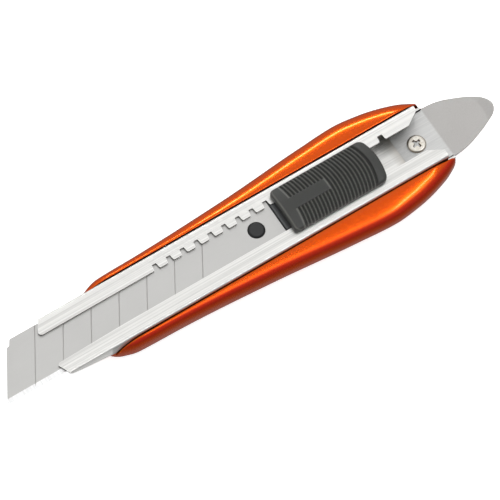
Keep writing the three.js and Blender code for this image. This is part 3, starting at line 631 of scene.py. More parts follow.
def gripSurface(p):
    # Rows are stations along X. Each row is one closed outline: from the middle of the back out along the
    # superellipse |y/half|^n + |z/up|^n = 1 (its own exponent and height below the equator) to the rim, over
    # a small round, down the groove wall and in along the groove floor, then the same mirrored.
    x0, x1 = gripBox[0][0], gripBox[1][0]
    front, rear = p["frontReach"], p["rearReach"]
    knotX = [x0 + d for d, _ in front] + [x1 - d for d, _ in rear]
    knotY = [r for _, r in front] + [r for _, r in rear]
    t = np.linspace(0, 1, p["stations"])
    t = t - p["crowding"] * np.sin(2 * np.pi * t) / np.pi
    steps = [x0 + p["troughFront"], x1 - p["troughRear"]]
    steps += [centre + side * half for centre, half in solidSpots(p) for side in (-1, 1)]
    steps = [step + nudge for step in steps for nudge in (-p["stepHalf"], p["stepHalf"])]
    x = np.unique(np.round(np.concatenate([x0 + (x1 - x0) * t, steps]), 4))[:, None]
    grooveHalf = channelBox[1][1] + p["grooveGap"]
    half = grooveHalf + smoothCurve(knotX, knotY, x)
    nose = np.maximum(0, 1 - (x - x0) / p["noseLength"])
    tail = np.maximum(0, 1 - (x1 - x) / p["tailDropLength"])
    equator = p["equator"] - p["equatorDrop"] * nose ** 2
    rim = channelBox[1][2] - p["rimDrop"] - p["noseDrop"] * nose ** p["nosePower"] - p["tailDrop"] * tail ** 2
    n = p["fullness"] + p["frontFullness"] * (1 - fade(x - x0, (p["fullFrom"], p["fullRun"])))
    m = p["belly"]
    rimShare = (1 - np.minimum(0.98, grooveHalf / half) ** n) ** (1 / n)
    up = (rim - equator) / rimShare
    down = (equator + p["bellyOverrun"]) * (1 - p["bellyLift"] * nose ** p["bellyLiftPower"])
    # both ends are rounded over: the outline shrinks along a quarter circle
    rearIn = np.clip(1 - (x1 - x) / p["endRound"], 0, 1)
    frontIn = np.clip(1 - (x - x0) / p["endRound"], 0, 1)
    tuck = p["endRound"] * (2 - np.sqrt(1 - rearIn ** 2) - np.sqrt(1 - frontIn ** 2))
    half = half - p["endTuck"] * tuck
    down = down - p["endLift"] * tuck
    floor = rampHeight(x) - p["floorGap"]

    share = np.clip((floor - equator) / up, -0.999, 0.999)
    power = np.where(share > 0, n, m)
    halfAtFloor = half * (1 - np.abs(share) ** power) ** (1 / power)
    inner = np.minimum(grooveHalf + p["rimGap"] * ease((x - x0) / p["noseLength"]), halfAtFloor)
    rimHere = equator + up * (1 - np.minimum(0.9999, inner / half) ** n) ** (1 / n)
    rimHere = np.maximum(rimHere, floor + p["leastWall"])
    edge = np.clip(np.minimum(p["rimRound"], (rimHere - floor) * p["roundShare"]), 0.001, None)

    angleEnd = np.arcsin(np.minimum(0.9999, (inner + edge) / half) ** (n / 2))
    angle = np.pi - (np.pi - angleEnd) * np.linspace(0, 1, p["around"])[None, :]
    power = np.where(angle < np.pi / 2, 2 / n, 2 / m)
    outY = half * np.abs(np.sin(angle)) ** power
    upright = np.sign(np.cos(angle)) * np.abs(np.cos(angle)) ** power
    outZ = equator + np.where(upright > 0, up, down) * upright
    outZ = np.maximum(outZ, 0)
    topZ = outZ[:, -1:]
    turn = np.linspace(0, np.pi / 2, p["roundSteps"])[None, 1:]
    roundY = inner + edge - edge * np.sin(turn)
    roundZ = topZ - edge + edge * np.cos(turn)
    w = np.linspace(0, 1, 5)[None, 1:]
    wallY = inner + 0 * w
    wallZ = np.maximum(floor, roundZ[:, -1:] + (floor - roundZ[:, -1:]) * w)
    # groove floor, then the trough between the ribs and screw bosses
    trough = np.where(troughMask(x, p), p["backWall"], floor)
    inY = np.concatenate([np.linspace(1, 0, 4)[None, 1:] * (inner - p["troughHalf"]) + p["troughHalf"],
                          p["troughHalf"] * np.linspace(1, 0, 5)[None, :] + 0 * x], axis=1)
    inZ = np.concatenate([floor + 0 * inY[:, :3], trough + 0 * inY[:, 3:]], axis=1)
    y = np.concatenate([outY, roundY, wallY, inY], axis=1)
    z = np.concatenate([outZ, roundZ, wallZ, inZ], axis=1)
    y = np.concatenate([y, -y[:, -2:0:-1]], axis=1)
    z = np.concatenate([z, z[:, -2:0:-1]], axis=1)
    # the cutting side stands closer to the channel, its rim most of all
    near = ease(1 - np.abs(-y - inner) / p["rimNear"])
    y = y + p["cuttingRimIn"] * near * ease(z - equator) * fade(x - x0, p["rimFadeIn"])
    beyond = ease((-y - inner) / p["sideNear"])
    y = y + p["cuttingSideIn"] * beyond * fade(x - x0, p["sideFadeIn"]) * (1 - fade(x - x0, p["sideFadeOut"]))
    return np.stack([x + 0 * y, y, z], axis=-1), (x[:, 0], inner[:, 0], topZ[:, 0])


def troughMask(x, p):
    # Where the casting is hollow under the channel: between its ends, but not at the ribs or bosses.
    x0, x1 = gripBox[0][0] + p["troughFront"], gripBox[1][0] - p["troughRear"]
    inside = (x > x0) & (x < x1)
    for centre, half in solidSpots(p):
        inside &= np.abs(x - centre) > half
    return inside


def solidSpots(p):
    # Middle and half length of each rib (at the quarters of the trough) and of each screw or rivet boss.
    x0, x1 = gripBox[0][0] + p["troughFront"], gripBox[1][0] - p["troughRear"]
    ribs = [(x0 + (x1 - x0) * share + p["ribShift"], p["ribHalf"]) for share in (0.25, 0.5, 0.75)]
    bosses = [((low[0] + high[0]) / 2, p["bossHalf"]) for low, high in
              (boxMm("front_channel_rivet"), boxMm("middle_channel_rivet"), screwBox)]
    return ribs + bosses


def makeGrip():
    # The surface's rows joined round, with a flat end at each: quads between its two mirrored halves.
    points, (stationX, innerHalf, rimZ) = gripSurface(grip)
    rows, columns = points.shape[:2]
    half = columns // 2 + 1
    j = np.arange(1, half - 1)
    first = np.stack([j, (j + 1) % columns, columns - j - 1, (columns - j) % columns], axis=-1)
    ends = np.concatenate([first[:-1], first[:-1] + (rows - 1) * columns])
    caps = [[0, 1, columns - 1], [half - 2, half - 1, half]]
    faces = [list(f) for f in np.concatenate([gridFaces(rows, columns, True), ends])]
    faces += caps + [[i + (rows - 1) * columns for i in f] for f in caps]
    piece = makePiece("grip_shell", points, faces, 50)
    dress(piece, "grip", "grip_paint", finish["paint"], "grip_casting")
    # painted shade: behind the nose the groove's faces take a near-black finish for the dark gap round the
    # channel
    piece.data.materials.append(finish["groove"])
    centres = np.empty(len(piece.data.polygons) * 3)
    piece.data.polygons.foreach_get("center", centres)
    normals = np.empty_like(centres)
    piece.data.polygons.foreach_get("normal", normals)
    cx, cy, cz = centres.reshape(-1, 3).T / mm
    shadedGrooveFaces = np.abs(cy) < np.interp(cx, stationX, innerHalf) + 0.02
    shadedGrooveFaces &= (cz > 0.1) & (cz < np.interp(cx, stationX, rimZ) - grip["rimRound"] * 0.45)
    shadedGrooveFaces &= (cx > stationX[0] + grip["shadedGrooveFrom"]) & (cx < stationX[-1] - grip["shadedGrooveTo"])
    shadedGrooveFaces &= np.abs(normals[::3]) < 0.7  # not the rounded ends
    piece.data.polygons.foreach_set("material_index", shadedGrooveFaces.astype(np.int32))


makeGrip()
print("grip made")


# Channel

channel = {
    "sheet": 0.7,
    "shoulderRun": 0.9,  # the lips roll over gently before each fold
    "shoulderDrop": 0.14,
    "lowerOut": 0.38,  # springback of the wall on the cutting-edge side
    "bend": 0.6,  # outer radius of the four folds
    "upperEdge": 4.7,
    "lowerEdge": -5.25,
    "lowerEdgeFront": -5.8,
    "lowerTaper": 24.0,
    "cornerRound": 1.2,
    "notchFirst": 42.15,
    "notchPitch": 5.0,
    "notchCount": 16,
    "notchDepth": 2.0,
    "notchWidth": 1.6,
    "parkWidth": 1.75,
    "parkFromRear": 17.55,
    "lipRear": 2.9,
    "chamferRun": 5.0,
    "chamferUpper": 3.2,
    "chamferLower": 2.7,
    "slant": 1 / math.tan(math.radians(59)),  # the front end leans with the blade's scores
    "slantFrom": 5.94,  # Y where the upper lip's front starts to lean
    "lowerSlant": 0.5,
    "lowerSlantFrom": 6.5,
    "lowerForward": 0.38,
    "wallBack": 2.3,  # the walls and floor stand this far behind the lips' front
    "wallBelow": 1.2,
    "slantFade": 7.0,
    "outFrom": 8.0,
    "outRun": 1.2,
    "frontNick": 0.7,
    "frontNickRun": 0.9,
    "notchShift": 0.17,
    "turnSteps": 8,
    "flatSteps": 4,
}


def notchDepthAt(x, centre, width, depth):
    # Depth of one notch against the distance from its middle: flat top, steep flank, flared foot. The reaches
    # are those of a notch 1.5 wide.
    reach = np.array([0.0, 0.60, 0.68, 0.76, 0.84, 0.92, 1.04, 1.25]) + (width - 1.5) / 2
    share = np.array([1.0, 1.0, 0.98, 0.86, 0.45, 0.16, 0.04, 0.0])
    return depth * np.interp(np.abs(x - centre), reach, share)


def channelStations(p):
    # Stations along X, close together at the ends, the chamfers and both flanks of every notch.
    x0, x1 = channelBox[0][0], channelBox[1][0]
    lipEnd = x1 - p["lipRear"]
    marks = [np.linspace(x0, x0 + 3, 14), np.linspace(x0 + 3, x0 + 26, 20), np.linspace(x0 + 26, lipEnd, 60),
             np.linspace(lipEnd - p["chamferRun"], lipEnd, 12), [lipEnd, x1]]
    centres = [x0 + p["notchFirst"] - p["notchShift"] + i * p["notchPitch"] for i in range(p["notchCount"])]
    centres.append(x1 - p["parkFromRear"])
    near = np.concatenate([np.linspace(-1.5, -0.55, 9), np.linspace(0.55, 1.5, 9)])
    marks += [c + near for c in centres]
    return np.unique(np.round(np.concatenate(marks), 3)), centres


def makeChannel():
    # One sheet followed across its width (lip, fold, wall, fold, floor, fold, wall, fold, lip) and carried
    # along X. The lips' free edges and the floor's height are functions of X; the front end leans back with
    # the slant, x + slant max(0, |y| - from), fading along the channel.
    p = channel
    xs, centres = channelStations(p)
    x = xs[:, None]
    x0, x1 = channelBox[0][0], channelBox[1][0]
    top, half = channelBox[1][2], channelBox[1][1]
    bend = p["bend"]

    upper = np.full_like(xs, p["upperEdge"])
    for i, c in enumerate(centres):
        width = p["notchWidth"] if i < p["notchCount"] else p["parkWidth"]
        upper = upper + notchDepthAt(xs, c, width, p["notchDepth"])
    fromFront = np.clip(xs - x0, 0, p["cornerRound"])
    cornerIn = p["cornerRound"] - np.sqrt(p["cornerRound"] ** 2 - (p["cornerRound"] - fromFront) ** 2)
    upper = upper + cornerIn
    taper = np.clip((xs - x0) / p["lowerTaper"], 0, 1)
    lower = p["lowerEdgeFront"] + (p["lowerEdge"] - p["lowerEdgeFront"]) * taper
    lower = lower - p["frontNick"] * (1 - np.clip((xs - x0) / p["frontNickRun"], 0, 1)) ** 2
    lipEnd = x1 - p["lipRear"]
    chamfer = np.clip((xs - (lipEnd - p["chamferRun"])) / p["chamferRun"], 0, 1)
    upper = upper + p["chamferUpper"] * chamfer
    lower = lower - p["chamferLower"] * chamfer
    innerEdgeLimit = half - bend
    upper = np.minimum(upper, innerEdgeLimit)[:, None]
    lower = np.maximum(lower, -innerEdgeLimit)[:, None]

    bottom = rampHeight(x)
    turn = np.linspace(0, np.pi / 2, p["turnSteps"])[None, :]
    across = np.linspace(0, 1, p["flatSteps"])[None, :]

    def sheetSide(offset):
        # offset 0 is the outer face, offset = sheet the inner one; each pair below is one flat or fold
        r = bend - offset
        low, high, wall = bottom + offset + r, top - offset - r, half - offset
        sine, cosine = r * np.sin(turn), r * np.cos(turn)
        strips = [
            (lower - (innerEdgeLimit + lower) * across, high + r),
            (-innerEdgeLimit - sine, high + cosine),
            (-wall, high + (low - high) * across),
            (-innerEdgeLimit - cosine, low - sine),
            (innerEdgeLimit * (2 * across - 1), low - r),
            (innerEdgeLimit + sine, low - cosine),
            (wall, low + (high - low) * across),
            (innerEdgeLimit + cosine, high + sine),
            (innerEdgeLimit + (upper - innerEdgeLimit) * across, high + r),
        ]
        full = [np.broadcast_arrays(y + 0 * x, z + 0 * x) for y, z in strips]
        return [np.concatenate(side, axis=1) for side in zip(*full)]

    grids = []
    for y, z in (sheetSide(0.0), sheetSide(p["sheet"])):
        shoulder = np.clip((np.abs(y) - (innerEdgeLimit - p["shoulderRun"])) / p["shoulderRun"], 0, 1)
        z = z - p["shoulderDrop"] * shoulder ** 2 * np.clip((z - bottom) / (top - bottom), 0, 1)
        y = y - p["lowerOut"] * fade(-y, (p["outFrom"], p["outRun"]))
        upperLean = p["slant"] * np.maximum(0, y - p["slantFrom"])
        lowerLean = p["lowerSlant"] * np.maximum(0, -y - p["lowerSlantFrom"]) - p["lowerForward"]
        lean = np.where(y > 0, upperLean, lowerLean)
        lean = np.where(z < top - p["wallBelow"], np.maximum(lean, p["wallBack"]), lean)
        lean = lean * np.clip(1 - (x - x0) / p["slantFade"], 0, 1)
        grids.append(np.stack([x + lean, y, z], axis=-1))
    rows, columns = grids[0].shape[:2]
    # behind the lips' ends only the floor and the lower part of the walls go on
    lipColumns = 2 * p["flatSteps"] + p["turnSteps"] - 2
    behindLips = (xs[:-1] >= lipEnd - 0.01)[:, None]
    column = np.arange(columns - 1)[None, :]
    keep = ~(behindLips & ((column < lipColumns) | (column >= columns - 1 - lipColumns)))
    points = np.concatenate([g.reshape(-1, 3) for g in grids])
    piece = makePiece("channel_sheet", points, shellFaces(rows, columns, keep), 40)
    bevelEdges(piece, 0.09, 50, 2)
    dress(piece, "grip", "channel_steel", finish["channel"], "blade_channel")


makeChannel()
print("channel made")


# Slider cap

cap = {
    "edgeRound": 0.75,
    "wall": 1.3,
    "frontSet": 0.85,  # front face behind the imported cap's
    "frontCorner": 1.5,
    "rearCorner": 2.5,
    "rearArc": 23.0,
    "crownFall": 1.0,
    "ribPitch": 1.26,
    "ribArc": 18.0,
    "ribDepth": 0.55,
    "fullRibs": 12,
    "shortRibs": 10,
    "frontBow": 0.45,
    "crestWidth": 0.22,  # share of the pitch
    "smoothRear": 3.1,
    "labelLow": -1.6,
    "labelHigh": 2.3,
    "labelFade": 0.25,
    "hookTop": 1.6,  # the hooks are cut off this high above the lips
    "hookReach": 4.0,  # and kept only this far from the middle line
    "frontBevel": 0.7,
    "frontDrop": 0.45,
    "sheenLine": 0.5,  # the front edge's painted highlight lies this far in, over the width below
    "sheenWidth": 0.22,
    "stepsPerRib": 12,
    "acrossSteps": 90,
    "edgeSteps": 9,
    "frontSteps": 16,
    "rearSteps": 10,
    "skirtSteps": 5,
    "rowGap": 0.006,  # neighbouring rows keep this distance where the outline squeezes them
    "columnGap": 0.012,
    "tailFall": 0.5,
    "roofDrop": 1.8,  # cored out up to this far under the top
    "lipGap": 0.3,  # the skirt ends this far above the lips
    "highlightAbove": 1.0,
}


def capOutlineDistance(x, y, p):
    # Distance in from the cap's outline: a rounded front, straight sides and a bowed rear. Near a corner of
    # radius r it is r - hypot(x - cx, y - cy), elsewhere the least distance to a side.
    x1, y1 = capBox[1][:2]
    rf, rr, arc = p["frontCorner"], p["rearCorner"], p["rearArc"]
    ay = np.abs(y)
    qx, qy = (capBox[0][0] + p["frontSet"] + rf) - x, ay - (y1 - rf)
    frontD = rf - (np.hypot(np.maximum(qx, 0), np.maximum(qy, 0)) + np.minimum(np.maximum(qx, qy), 0))
    centre = x1 - arc
    cornerX = centre + math.sqrt((arc - rr) ** 2 - (y1 - rr) ** 2)
    rearD = arc - np.hypot(x - centre, ay)
    sideD = y1 - ay
    inCorner = (x > cornerX) & (ay > (y1 - rr) / (cornerX - centre) * (x - centre))
    cornerD = rr - np.hypot(x - cornerX, ay - (y1 - rr))
    rearAll = np.where(inCorner, cornerD, np.minimum(rearD, sideD))
    return np.minimum(frontD, rearAll)


def capEnds(y, p):
    # Where the outline's front and rear stand at each Y: cx -/+ sqrt(r^2 - (y - cy)^2) on its arcs.
    x1, y1 = capBox[1][:2]
    rf, rr, arc = p["frontCorner"], p["rearCorner"], p["rearArc"]
    ay = np.abs(y)
    over = np.clip(ay - (y1 - rf), 0, rf)
    front = capBox[0][0] + p["frontSet"] + rf - np.sqrt(np.maximum(0, rf ** 2 - over ** 2))
    centre = x1 - arc
    cornerX = centre + math.sqrt((arc - rr) ** 2 - (y1 - rr) ** 2)
    meet = arc * (y1 - rr) / (arc - rr)
    onArc = centre + np.sqrt(np.maximum(0, arc ** 2 - ay ** 2))
    onCorner = cornerX + np.sqrt(np.maximum(0, rr ** 2 - np.clip(ay - (y1 - rr), 0, rr) ** 2))
    return front, np.where(ay < meet, onArc, onCorner)


def ribWave(x, y, p):
    # Depth share 1 - exp(-(distance to the crest / width)^2) along arcs bowed towards the tail; the label
    # field in front stays plain.
    x0, x1 = capBox[0][0], capBox[1][0]
    bowShare = p["frontBow"] + (1 - p["frontBow"]) * (x - x0) / (x1 - x0)
    bow = (p["ribArc"] - np.sqrt(p["ribArc"] ** 2 - y ** 2)) * bowShare
    place = (x1 - p["smoothRear"] - x - bow) / p["ribPitch"]
    phase = place - np.floor(place)
    groove = 1 - np.exp(-((np.minimum(phase, 1 - phase) / p["crestWidth"]) ** 2))
    inFull = (place > 0) & (place < p["fullRibs"])
    inShort = (place >= p["fullRibs"]) & (place < p["fullRibs"] + p["shortRibs"])
    beyond = np.maximum(y - p["labelHigh"], p["labelLow"] - y)
    offLabel = ease(beyond / p["labelFade"])
    return groove * np.where(inFull, 1.0, np.where(inShort, offLabel, 0.0))


def makeCap():
    # Top: the crown z = top - R + sqrt(R^2 - y^2), less r - sqrt(r^2 - (r - d)^2) where d, the distance in from
    # the outline, is under r, and less the ribs. Rows of the grid bow with the ribs. The skirt drops from the
    # outline; the underside is cored.
    p = cap
    (x0, y0, _), (x1, y1, z1) = capBox
    x0 = x0 + p["frontSet"]
    r = p["edgeRound"]
    under = channelBox[1][2] + p["lipGap"]
    ribs = p["fullRibs"] + p["shortRibs"]
    ribLength = ribs * p["ribPitch"]
    lead = x1 - p["smoothRear"] - ribLength - x0
    edgeSteps = r * (1 - np.cos(np.linspace(0, np.pi / 2, p["edgeSteps"])))
    frontRows = np.concatenate([edgeSteps, np.linspace(r, lead, p["frontSteps"])[1:]])
    rearRows = np.concatenate([np.linspace(0, p["smoothRear"] - r, p["rearSteps"]),
                               (p["smoothRear"] - edgeSteps[::-1])[1:]])
    ribSteps = np.linspace(0, ribLength, ribs * p["stepsPerRib"] + 1)[1:]
    along = np.concatenate([frontRows, lead + ribSteps, lead + ribLength + rearRows[1:]])

    edgeY = y1 - edgeSteps
    inner = np.linspace(-(y1 - r), y1 - r, p["acrossSteps"])
    labelEdge = np.array([0, 0.12, p["labelFade"]])
    ys = np.concatenate([-edgeY, inner, edgeY, p["labelLow"] - labelEdge, p["labelHigh"] + labelEdge])
    ys = np.unique(np.round(ys, 4))
    ys = ys[np.concatenate([[True], np.diff(ys) > p["columnGap"]])]
    front, rear = capEnds(ys, p)
    bow = p["ribArc"] - np.sqrt(p["ribArc"] ** 2 - ys ** 2)
    # between front and rear outlines the rows bow like the ribs
    ribX = x0 + along[:, None] - bow[None, :]
    inRib = fade(along, (r, lead - r))[:, None]
    toRear = fade(along - lead - ribLength, (0, p["smoothRear"]))[:, None]
    straight = front[None, :] + along[:, None]
    rearX = rear[None, :] - (x1 - x0 - along[:, None])
    x = straight * (1 - inRib) + ribX * inRib
    x = x * (1 - toRear) + rearX * toRear
    hair = p["rowGap"] * np.arange(len(along))[:, None]
    x = np.minimum(np.maximum(x, front[None, :] + hair), rear[None, :] - hair[::-1])
    y = ys[None, :] + 0 * x

    d = np.maximum(0, capOutlineDistance(x, y, p))
    radius = (y1 ** 2 + p["crownFall"] ** 2) / (2 * p["crownFall"])
    crown = z1 - radius + np.sqrt(radius ** 2 - y ** 2)
    # the front bevel, and a slight fall to the tail
    crown = crown - p["frontDrop"] * np.clip((p["frontBevel"] - (x - x0)) / p["frontBevel"], 0, 1)
    crown = crown - p["tailFall"] * fade(x, (x1 - p["smoothRear"], p["smoothRear"]))
    z = crown - (r - np.sqrt(np.maximum(0, r ** 2 - np.maximum(0, r - d) ** 2)))
    z = z - p["ribDepth"] * ribWave(x, y, p) * ease(d / 0.5)

    # the grid's rim, once round, then the skirt's rings, the wall's foot and the roof of the hollow
    rows, columns = x.shape
    ring = np.concatenate([
        np.arange(columns),
        np.arange(1, rows) * columns + columns - 1,
        (rows - 1) * columns + np.arange(columns - 2, -1, -1),
        np.arange(rows - 2, 0, -1) * columns,
    ])
    topPoints = np.stack([x, y, z], axis=-1).reshape(-1, 3)
    rim = topPoints[ring]
    middle = np.array([(x0 + x1) / 2, 0])
    shrink = 1 - np.array([p["wall"] / (x1 - x0), p["wall"] / (y1 - y0)]) * 2
    innerXY = middle + (rim[:, :2] - middle) * shrink
    low = np.column_stack([rim[:, :2], np.full(len(rim), under)])
    lowIn = np.column_stack([innerXY, np.full(len(rim), under)])
    roof = np.column_stack([innerXY, np.full(len(rim), z1 - p["roofDrop"])])
    skirt = rim + (low - rim) * np.linspace(0, 1, p["skirtSteps"])[1:, None, None]
    points = np.concatenate([topPoints, skirt.reshape(-1, 3), lowIn, roof])
    k = np.arange(len(ring))
    follows = (k + 1) % len(ring)
    faces = [gridFaces(rows, columns)]
    previous = ring
    for layer in range(p["skirtSteps"] + 1):
        current = len(topPoints) + layer * len(ring) + k
        faces.append(np.stack([previous, previous[follows], current[follows], current], axis=-1))
        previous = current
    faces = [f for block in faces for f in block] + [list(previous)]
    piece = makePiece("thumb_slide", points, faces, 60)
    # painted highlight mask: 1 on the rib crests and along the front edge; sunk: 1 down in the grooves, for
    # painted shade
    at = vertexPlaces(piece)
    groove = ribWave(at[:, 0], at[:, 1], p)
    near = ribWave(at[:, 0] + p["ribPitch"] / 2, at[:, 1], p)
    onTop = at[:, 2] > under + p["highlightAbove"]
    fromFront = at[:, 0] - capEnds(at[:, 1], p)[0]
    paintedSheen = np.exp(-(((fromFront - p["sheenLine"]) / p["sheenWidth"]) ** 2))
    setAttribute(piece, "crestAndEdgeHighlight", np.where(onTop, np.clip(np.maximum(near - groove, paintedSheen), 0, 1), 0))
    setAttribute(piece, "sunk", np.where(onTop, groove, 0))
    dress(piece, "cap", "slider_plastic", finish["cap"], "slider_cap")


def makeCapHooks():
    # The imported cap's two hooks and cam pin, cut off inside the cap; its own wall, which the new cap replaces,
    # is taken away by its distance from the middle line and from the ends.
    piece = copyOfNode("cap_hooks", "slider_cap", 30)
    work = bmesh.new()
    work.from_mesh(piece.data)
    plane = (channelBox[1][2] + cap["hookTop"]) * mm
    bmesh.ops.bisect_plane(work, geom=work.verts[:] + work.edges[:] + work.faces[:], plane_co=(0, 0, plane),
                           plane_no=(0, 0, 1), clear_outer=True)
    outline = [v for v in work.verts if abs(v.co.y) > cap["hookReach"] * mm or
               min(v.co.x - capBox[0][0] * mm, capBox[1][0] * mm - v.co.x) < cap["wall"] * 1.5 * mm]
    bmesh.ops.delete(work, geom=outline, context="VERTS")
    bmesh.ops.holes_fill(work, edges=[e for e in work.edges if len(e.link_faces) == 1])
    bmesh.ops.delete(work, geom=[e for e in work.edges if not e.link_faces], context="EDGES")
    bmesh.ops.recalc_face_normals(work, faces=work.faces)
    work.to_mesh(piece.data)
    work.free()
    dress(piece, "cap", "slider_plastic", finish["carriage"], "slider_cap")


makeCap()
makeCapHooks()
print("slider cap made")


# Tail plate

tailPlate = {
    "halfInside": 9.0,
    # half-widths at distances behind the crease
    "spineEdge": [(0, 9.5), (4.2, 9.25), (7.4, 8.6), (10.5, 7.5), (13.7, 6.2), (16.7, 4.7), (19.3, 3.35),
                  (20.8, 2.9)],
    "cuttingEdge": [(0, 9.5), (4.2, 8.9), (7.4, 8.1), (10.5, 7.0), (13.7, 5.75), (16.7, 4.35), (19.3, 3.15),
                    (20.8, 2.8)],
    "creaseBehind": 0.1,  # behind the channel's end
    "thickness": 0.9,
    "tipRun": 2.6,
    "frontLean": 0.35,  # the front edge is sheared at a slope and coined thin over a short run
    "coined": 0.82,
    "coinedRun": 5.0,
    "bend": math.radians(2.5),
    "leanRun": 4.0,
    "facetStart": 4.0,
    "facetBow": 0.036,
    "facetDrop": 0.22,
    "facetDeep": 0.75,  # at most this share of the thickness
    "columns": 40,
    "insideSteps": 12,
    "outsideSteps": 60,
    "tipSteps": 18,
    "tipLength": 3.0,
}


def tailEdges(x, p):
    # Both edges along X: straight inside the channel, then smooth curves through the reaches, drawn together
    # over the last stretch by a quarter ellipse.
    crease = channelBox[1][0] + p["creaseBehind"]
    closing = np.clip((x - (tailBox[1][0] - p["tipRun"])) / p["tipRun"], 0, 1)
    edges = []
    for side in ("spineEdge", "cuttingEdge"):
        runs, reaches = zip(*p[side])
        edge = smoothCurve(runs, reaches, np.maximum(0, x - crease)) * np.sqrt(np.maximum(0, 1 - closing ** 2))
        edges.append(np.where(x < crease + 0.05, p["halfInside"], edge))
    return edges


def makeTailPlate():
    # Plate as a grid of stations along X by shares of the half-width, y = edge(x) share, doubled for the lower
    # face. Behind the crease it falls by (x - crease) tan(bend), past a shallow arc near the tip more.
    p = tailPlate
    x0, x1 = tailBox[0][0], tailBox[1][0]
    crease = channelBox[1][0] + p["creaseBehind"]
    tip = x1 - p["tipLength"]
    tipSteps = x1 - p["tipLength"] * (1 - np.sin(np.linspace(0, np.pi / 2, p["tipSteps"])))
    xs = np.unique(np.concatenate([np.linspace(x0, crease + 0.04, p["insideSteps"]),
                                   np.linspace(crease + 0.06, tip, p["outsideSteps"]), tipSteps]))
    spine, cutting = tailEdges(xs, p)
    share = np.sin(np.linspace(-np.pi / 2, np.pi / 2, p["columns"]))[None, :]
    y = np.where(share > 0, spine[:, None], cutting[:, None]) * share
    x = xs[:, None] + 0 * y
    lift = tailBox[1][2] - np.maximum(0, x - crease) * math.tan(p["bend"])
    facetLine = x1 - p["facetStart"] - p["facetBow"] * y ** 2
    facet = np.minimum(np.maximum(0, x - facetLine) * p["facetDrop"], p["thickness"] * p["facetDeep"])
    sheared = p["frontLean"] * np.clip(1 - (x - x0) / p["leanRun"], 0, 1)
    coined = p["coined"] * np.clip(1 - (x - x0) / p["coinedRun"], 0, 1)
    upper = np.stack([x + sheared, y, lift - coined - facet], axis=-1)
    lower = np.stack([x, y, lift - p["thickness"]], axis=-1)
    points = np.concatenate([upper.reshape(-1, 3), lower.reshape(-1, 3)])
    piece = makePiece("scraper_plate", points, shellFaces(*x.shape), 25)
    bevelEdges(piece, 0.12, 50, 2)
    dress(piece, "grip", "tail_steel", finish["tail"], "tail_plate")


makeTailPlate()
print("tail plate made")


# Screw

screw = {
    "turn": math.radians(22),
    "arm": 1.75,
    "armWidth": 0.42,
    "depth": 0.95,
    "middle": 0.35,  # radius of the recess's round bottom
    "middleFade": 0.5,
    "crown": 0.16,
    "rimFall": 0.26,
    "head": 0.6,
    "shank": 1.5,
    "rimDarkening": 0.08,
    "rings": 46,
    "around": 144,
}


def makeScrew():
    # Turned head, z = top - crown (r/R)^2 - rimFall ease((r/R - 0.8) / 0.2)^1.5, with the cross recess sunk in
    # where the distance to either arm is small; below the head a shank.
    p = screw
    (x0, _, z0), (x1, _, z1) = screwBox
    centre, radius = (x0 + x1) / 2, (x1 - x0) / 2
    under = z1 - p["head"]
    r = radius * np.concatenate([np.linspace(0, 0.9, p["rings"]), [0.94, 0.97, 0.99, 1.0]])[:, None]
    a = np.linspace(0, 2 * np.pi, p["around"], endpoint=False)[None, :]
    crown = z1 - p["crown"] * (r / radius) ** 2 - p["rimFall"] * ease((r / radius - 0.8) / 0.2) ** 1.5
    u, v = r * np.cos(a - p["turn"]), r * np.sin(a - p["turn"])

    def arm(along, across):
        # 1 inside one bar of the cross, narrowing and fading out towards its ends
        reach = np.maximum(0, np.abs(along) - p["arm"] * 0.62)
        width = p["armWidth"] * (1 - 0.25 * np.abs(along) / p["arm"])
        inside = 1 - ease((np.abs(across) - width * 0.75) / (width * 0.5))
        return inside * (1 - ease(reach / (p["arm"] * 0.35)))

    recess = np.maximum(arm(u, v), arm(v, u))
    middle = 1 - fade(r, (p["middle"], p["middleFade"]))
    sunk = p["depth"] * np.maximum(recess * (1 - 0.35 * r / p["arm"]).clip(0, 1), middle)
    rings = np.concatenate([r, [[radius], [p["shank"]], [p["shank"]]]])
    z = np.concatenate([crown - sunk, np.array([[under], [under], [z0]]) + 0 * a])
    points = np.stack([centre + rings * np.cos(a), rings * np.sin(a), z], axis=-1)
    count, columns = points.shape[:2]
    faces = [list(f) for f in gridFaces(count, columns, True)]
    faces.append([(count - 1) * columns + i for i in range(columns)])
    piece = makePiece("cross_screw", points, faces, 35)
    at = vertexPlaces(piece)
    # sunk: depth in the recess, and a slight darkening round the rim
    out = np.hypot(at[:, 0] - centre, at[:, 1]) / radius
    depth = z1 - p["crown"] * out ** 2 - at[:, 2]
    inRecess = np.clip((depth - 0.06) / (p["depth"] - 0.1), 0, 1)
    sunk = np.where(out < 0.75, inRecess, p["rimDarkening"] * fade(out, (0.9, 0.06)))
    setAttribute(piece, "sunk", np.where(at[:, 2] > under - p["head"], sunk, 0))
    dress(piece, "grip", "nickel", finish["nickel"], "tail_screw")


makeScrew()
print("screw made")


# Blade, carriage and the small parts

blade = {"bevelWidth": 1.65, "edge": 0.03, "smooth": 3}
carrier = {"edge": 0.12, "smooth": 30}


def makeBlade():
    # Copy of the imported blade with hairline-eased edges; the faces of the cutting bevel get the ground finish.
    piece = copyOfNode("scored_blade", "snap_off_blade", blade["smooth"])
    dress(piece, "carriage", "blade_steel", finish["blade"], "snap_off_blade")
    piece.data.materials.append(finish["edge"])
    bevelLine = bladeBox[0][1] + blade["bevelWidth"]
    for face in piece.data.polygons:
        inBand = all(piece.data.vertices[v].co.y / mm < bevelLine for v in face.vertices)
        if inBand and abs(face.normal.z) > 0.6:
            face.material_index = 1
    bevelEdges(piece, blade["edge"], 25, 1)


def makeCarrier():
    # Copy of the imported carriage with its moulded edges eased.
    piece = copyOfNode("blade_carrier", "blade_carriage", carrier["smooth"])
    bevelEdges(piece, carrier["edge"], 35, 2)
    dress(piece, "carriage", "black_plastic", finish["carriage"], "blade_carriage")


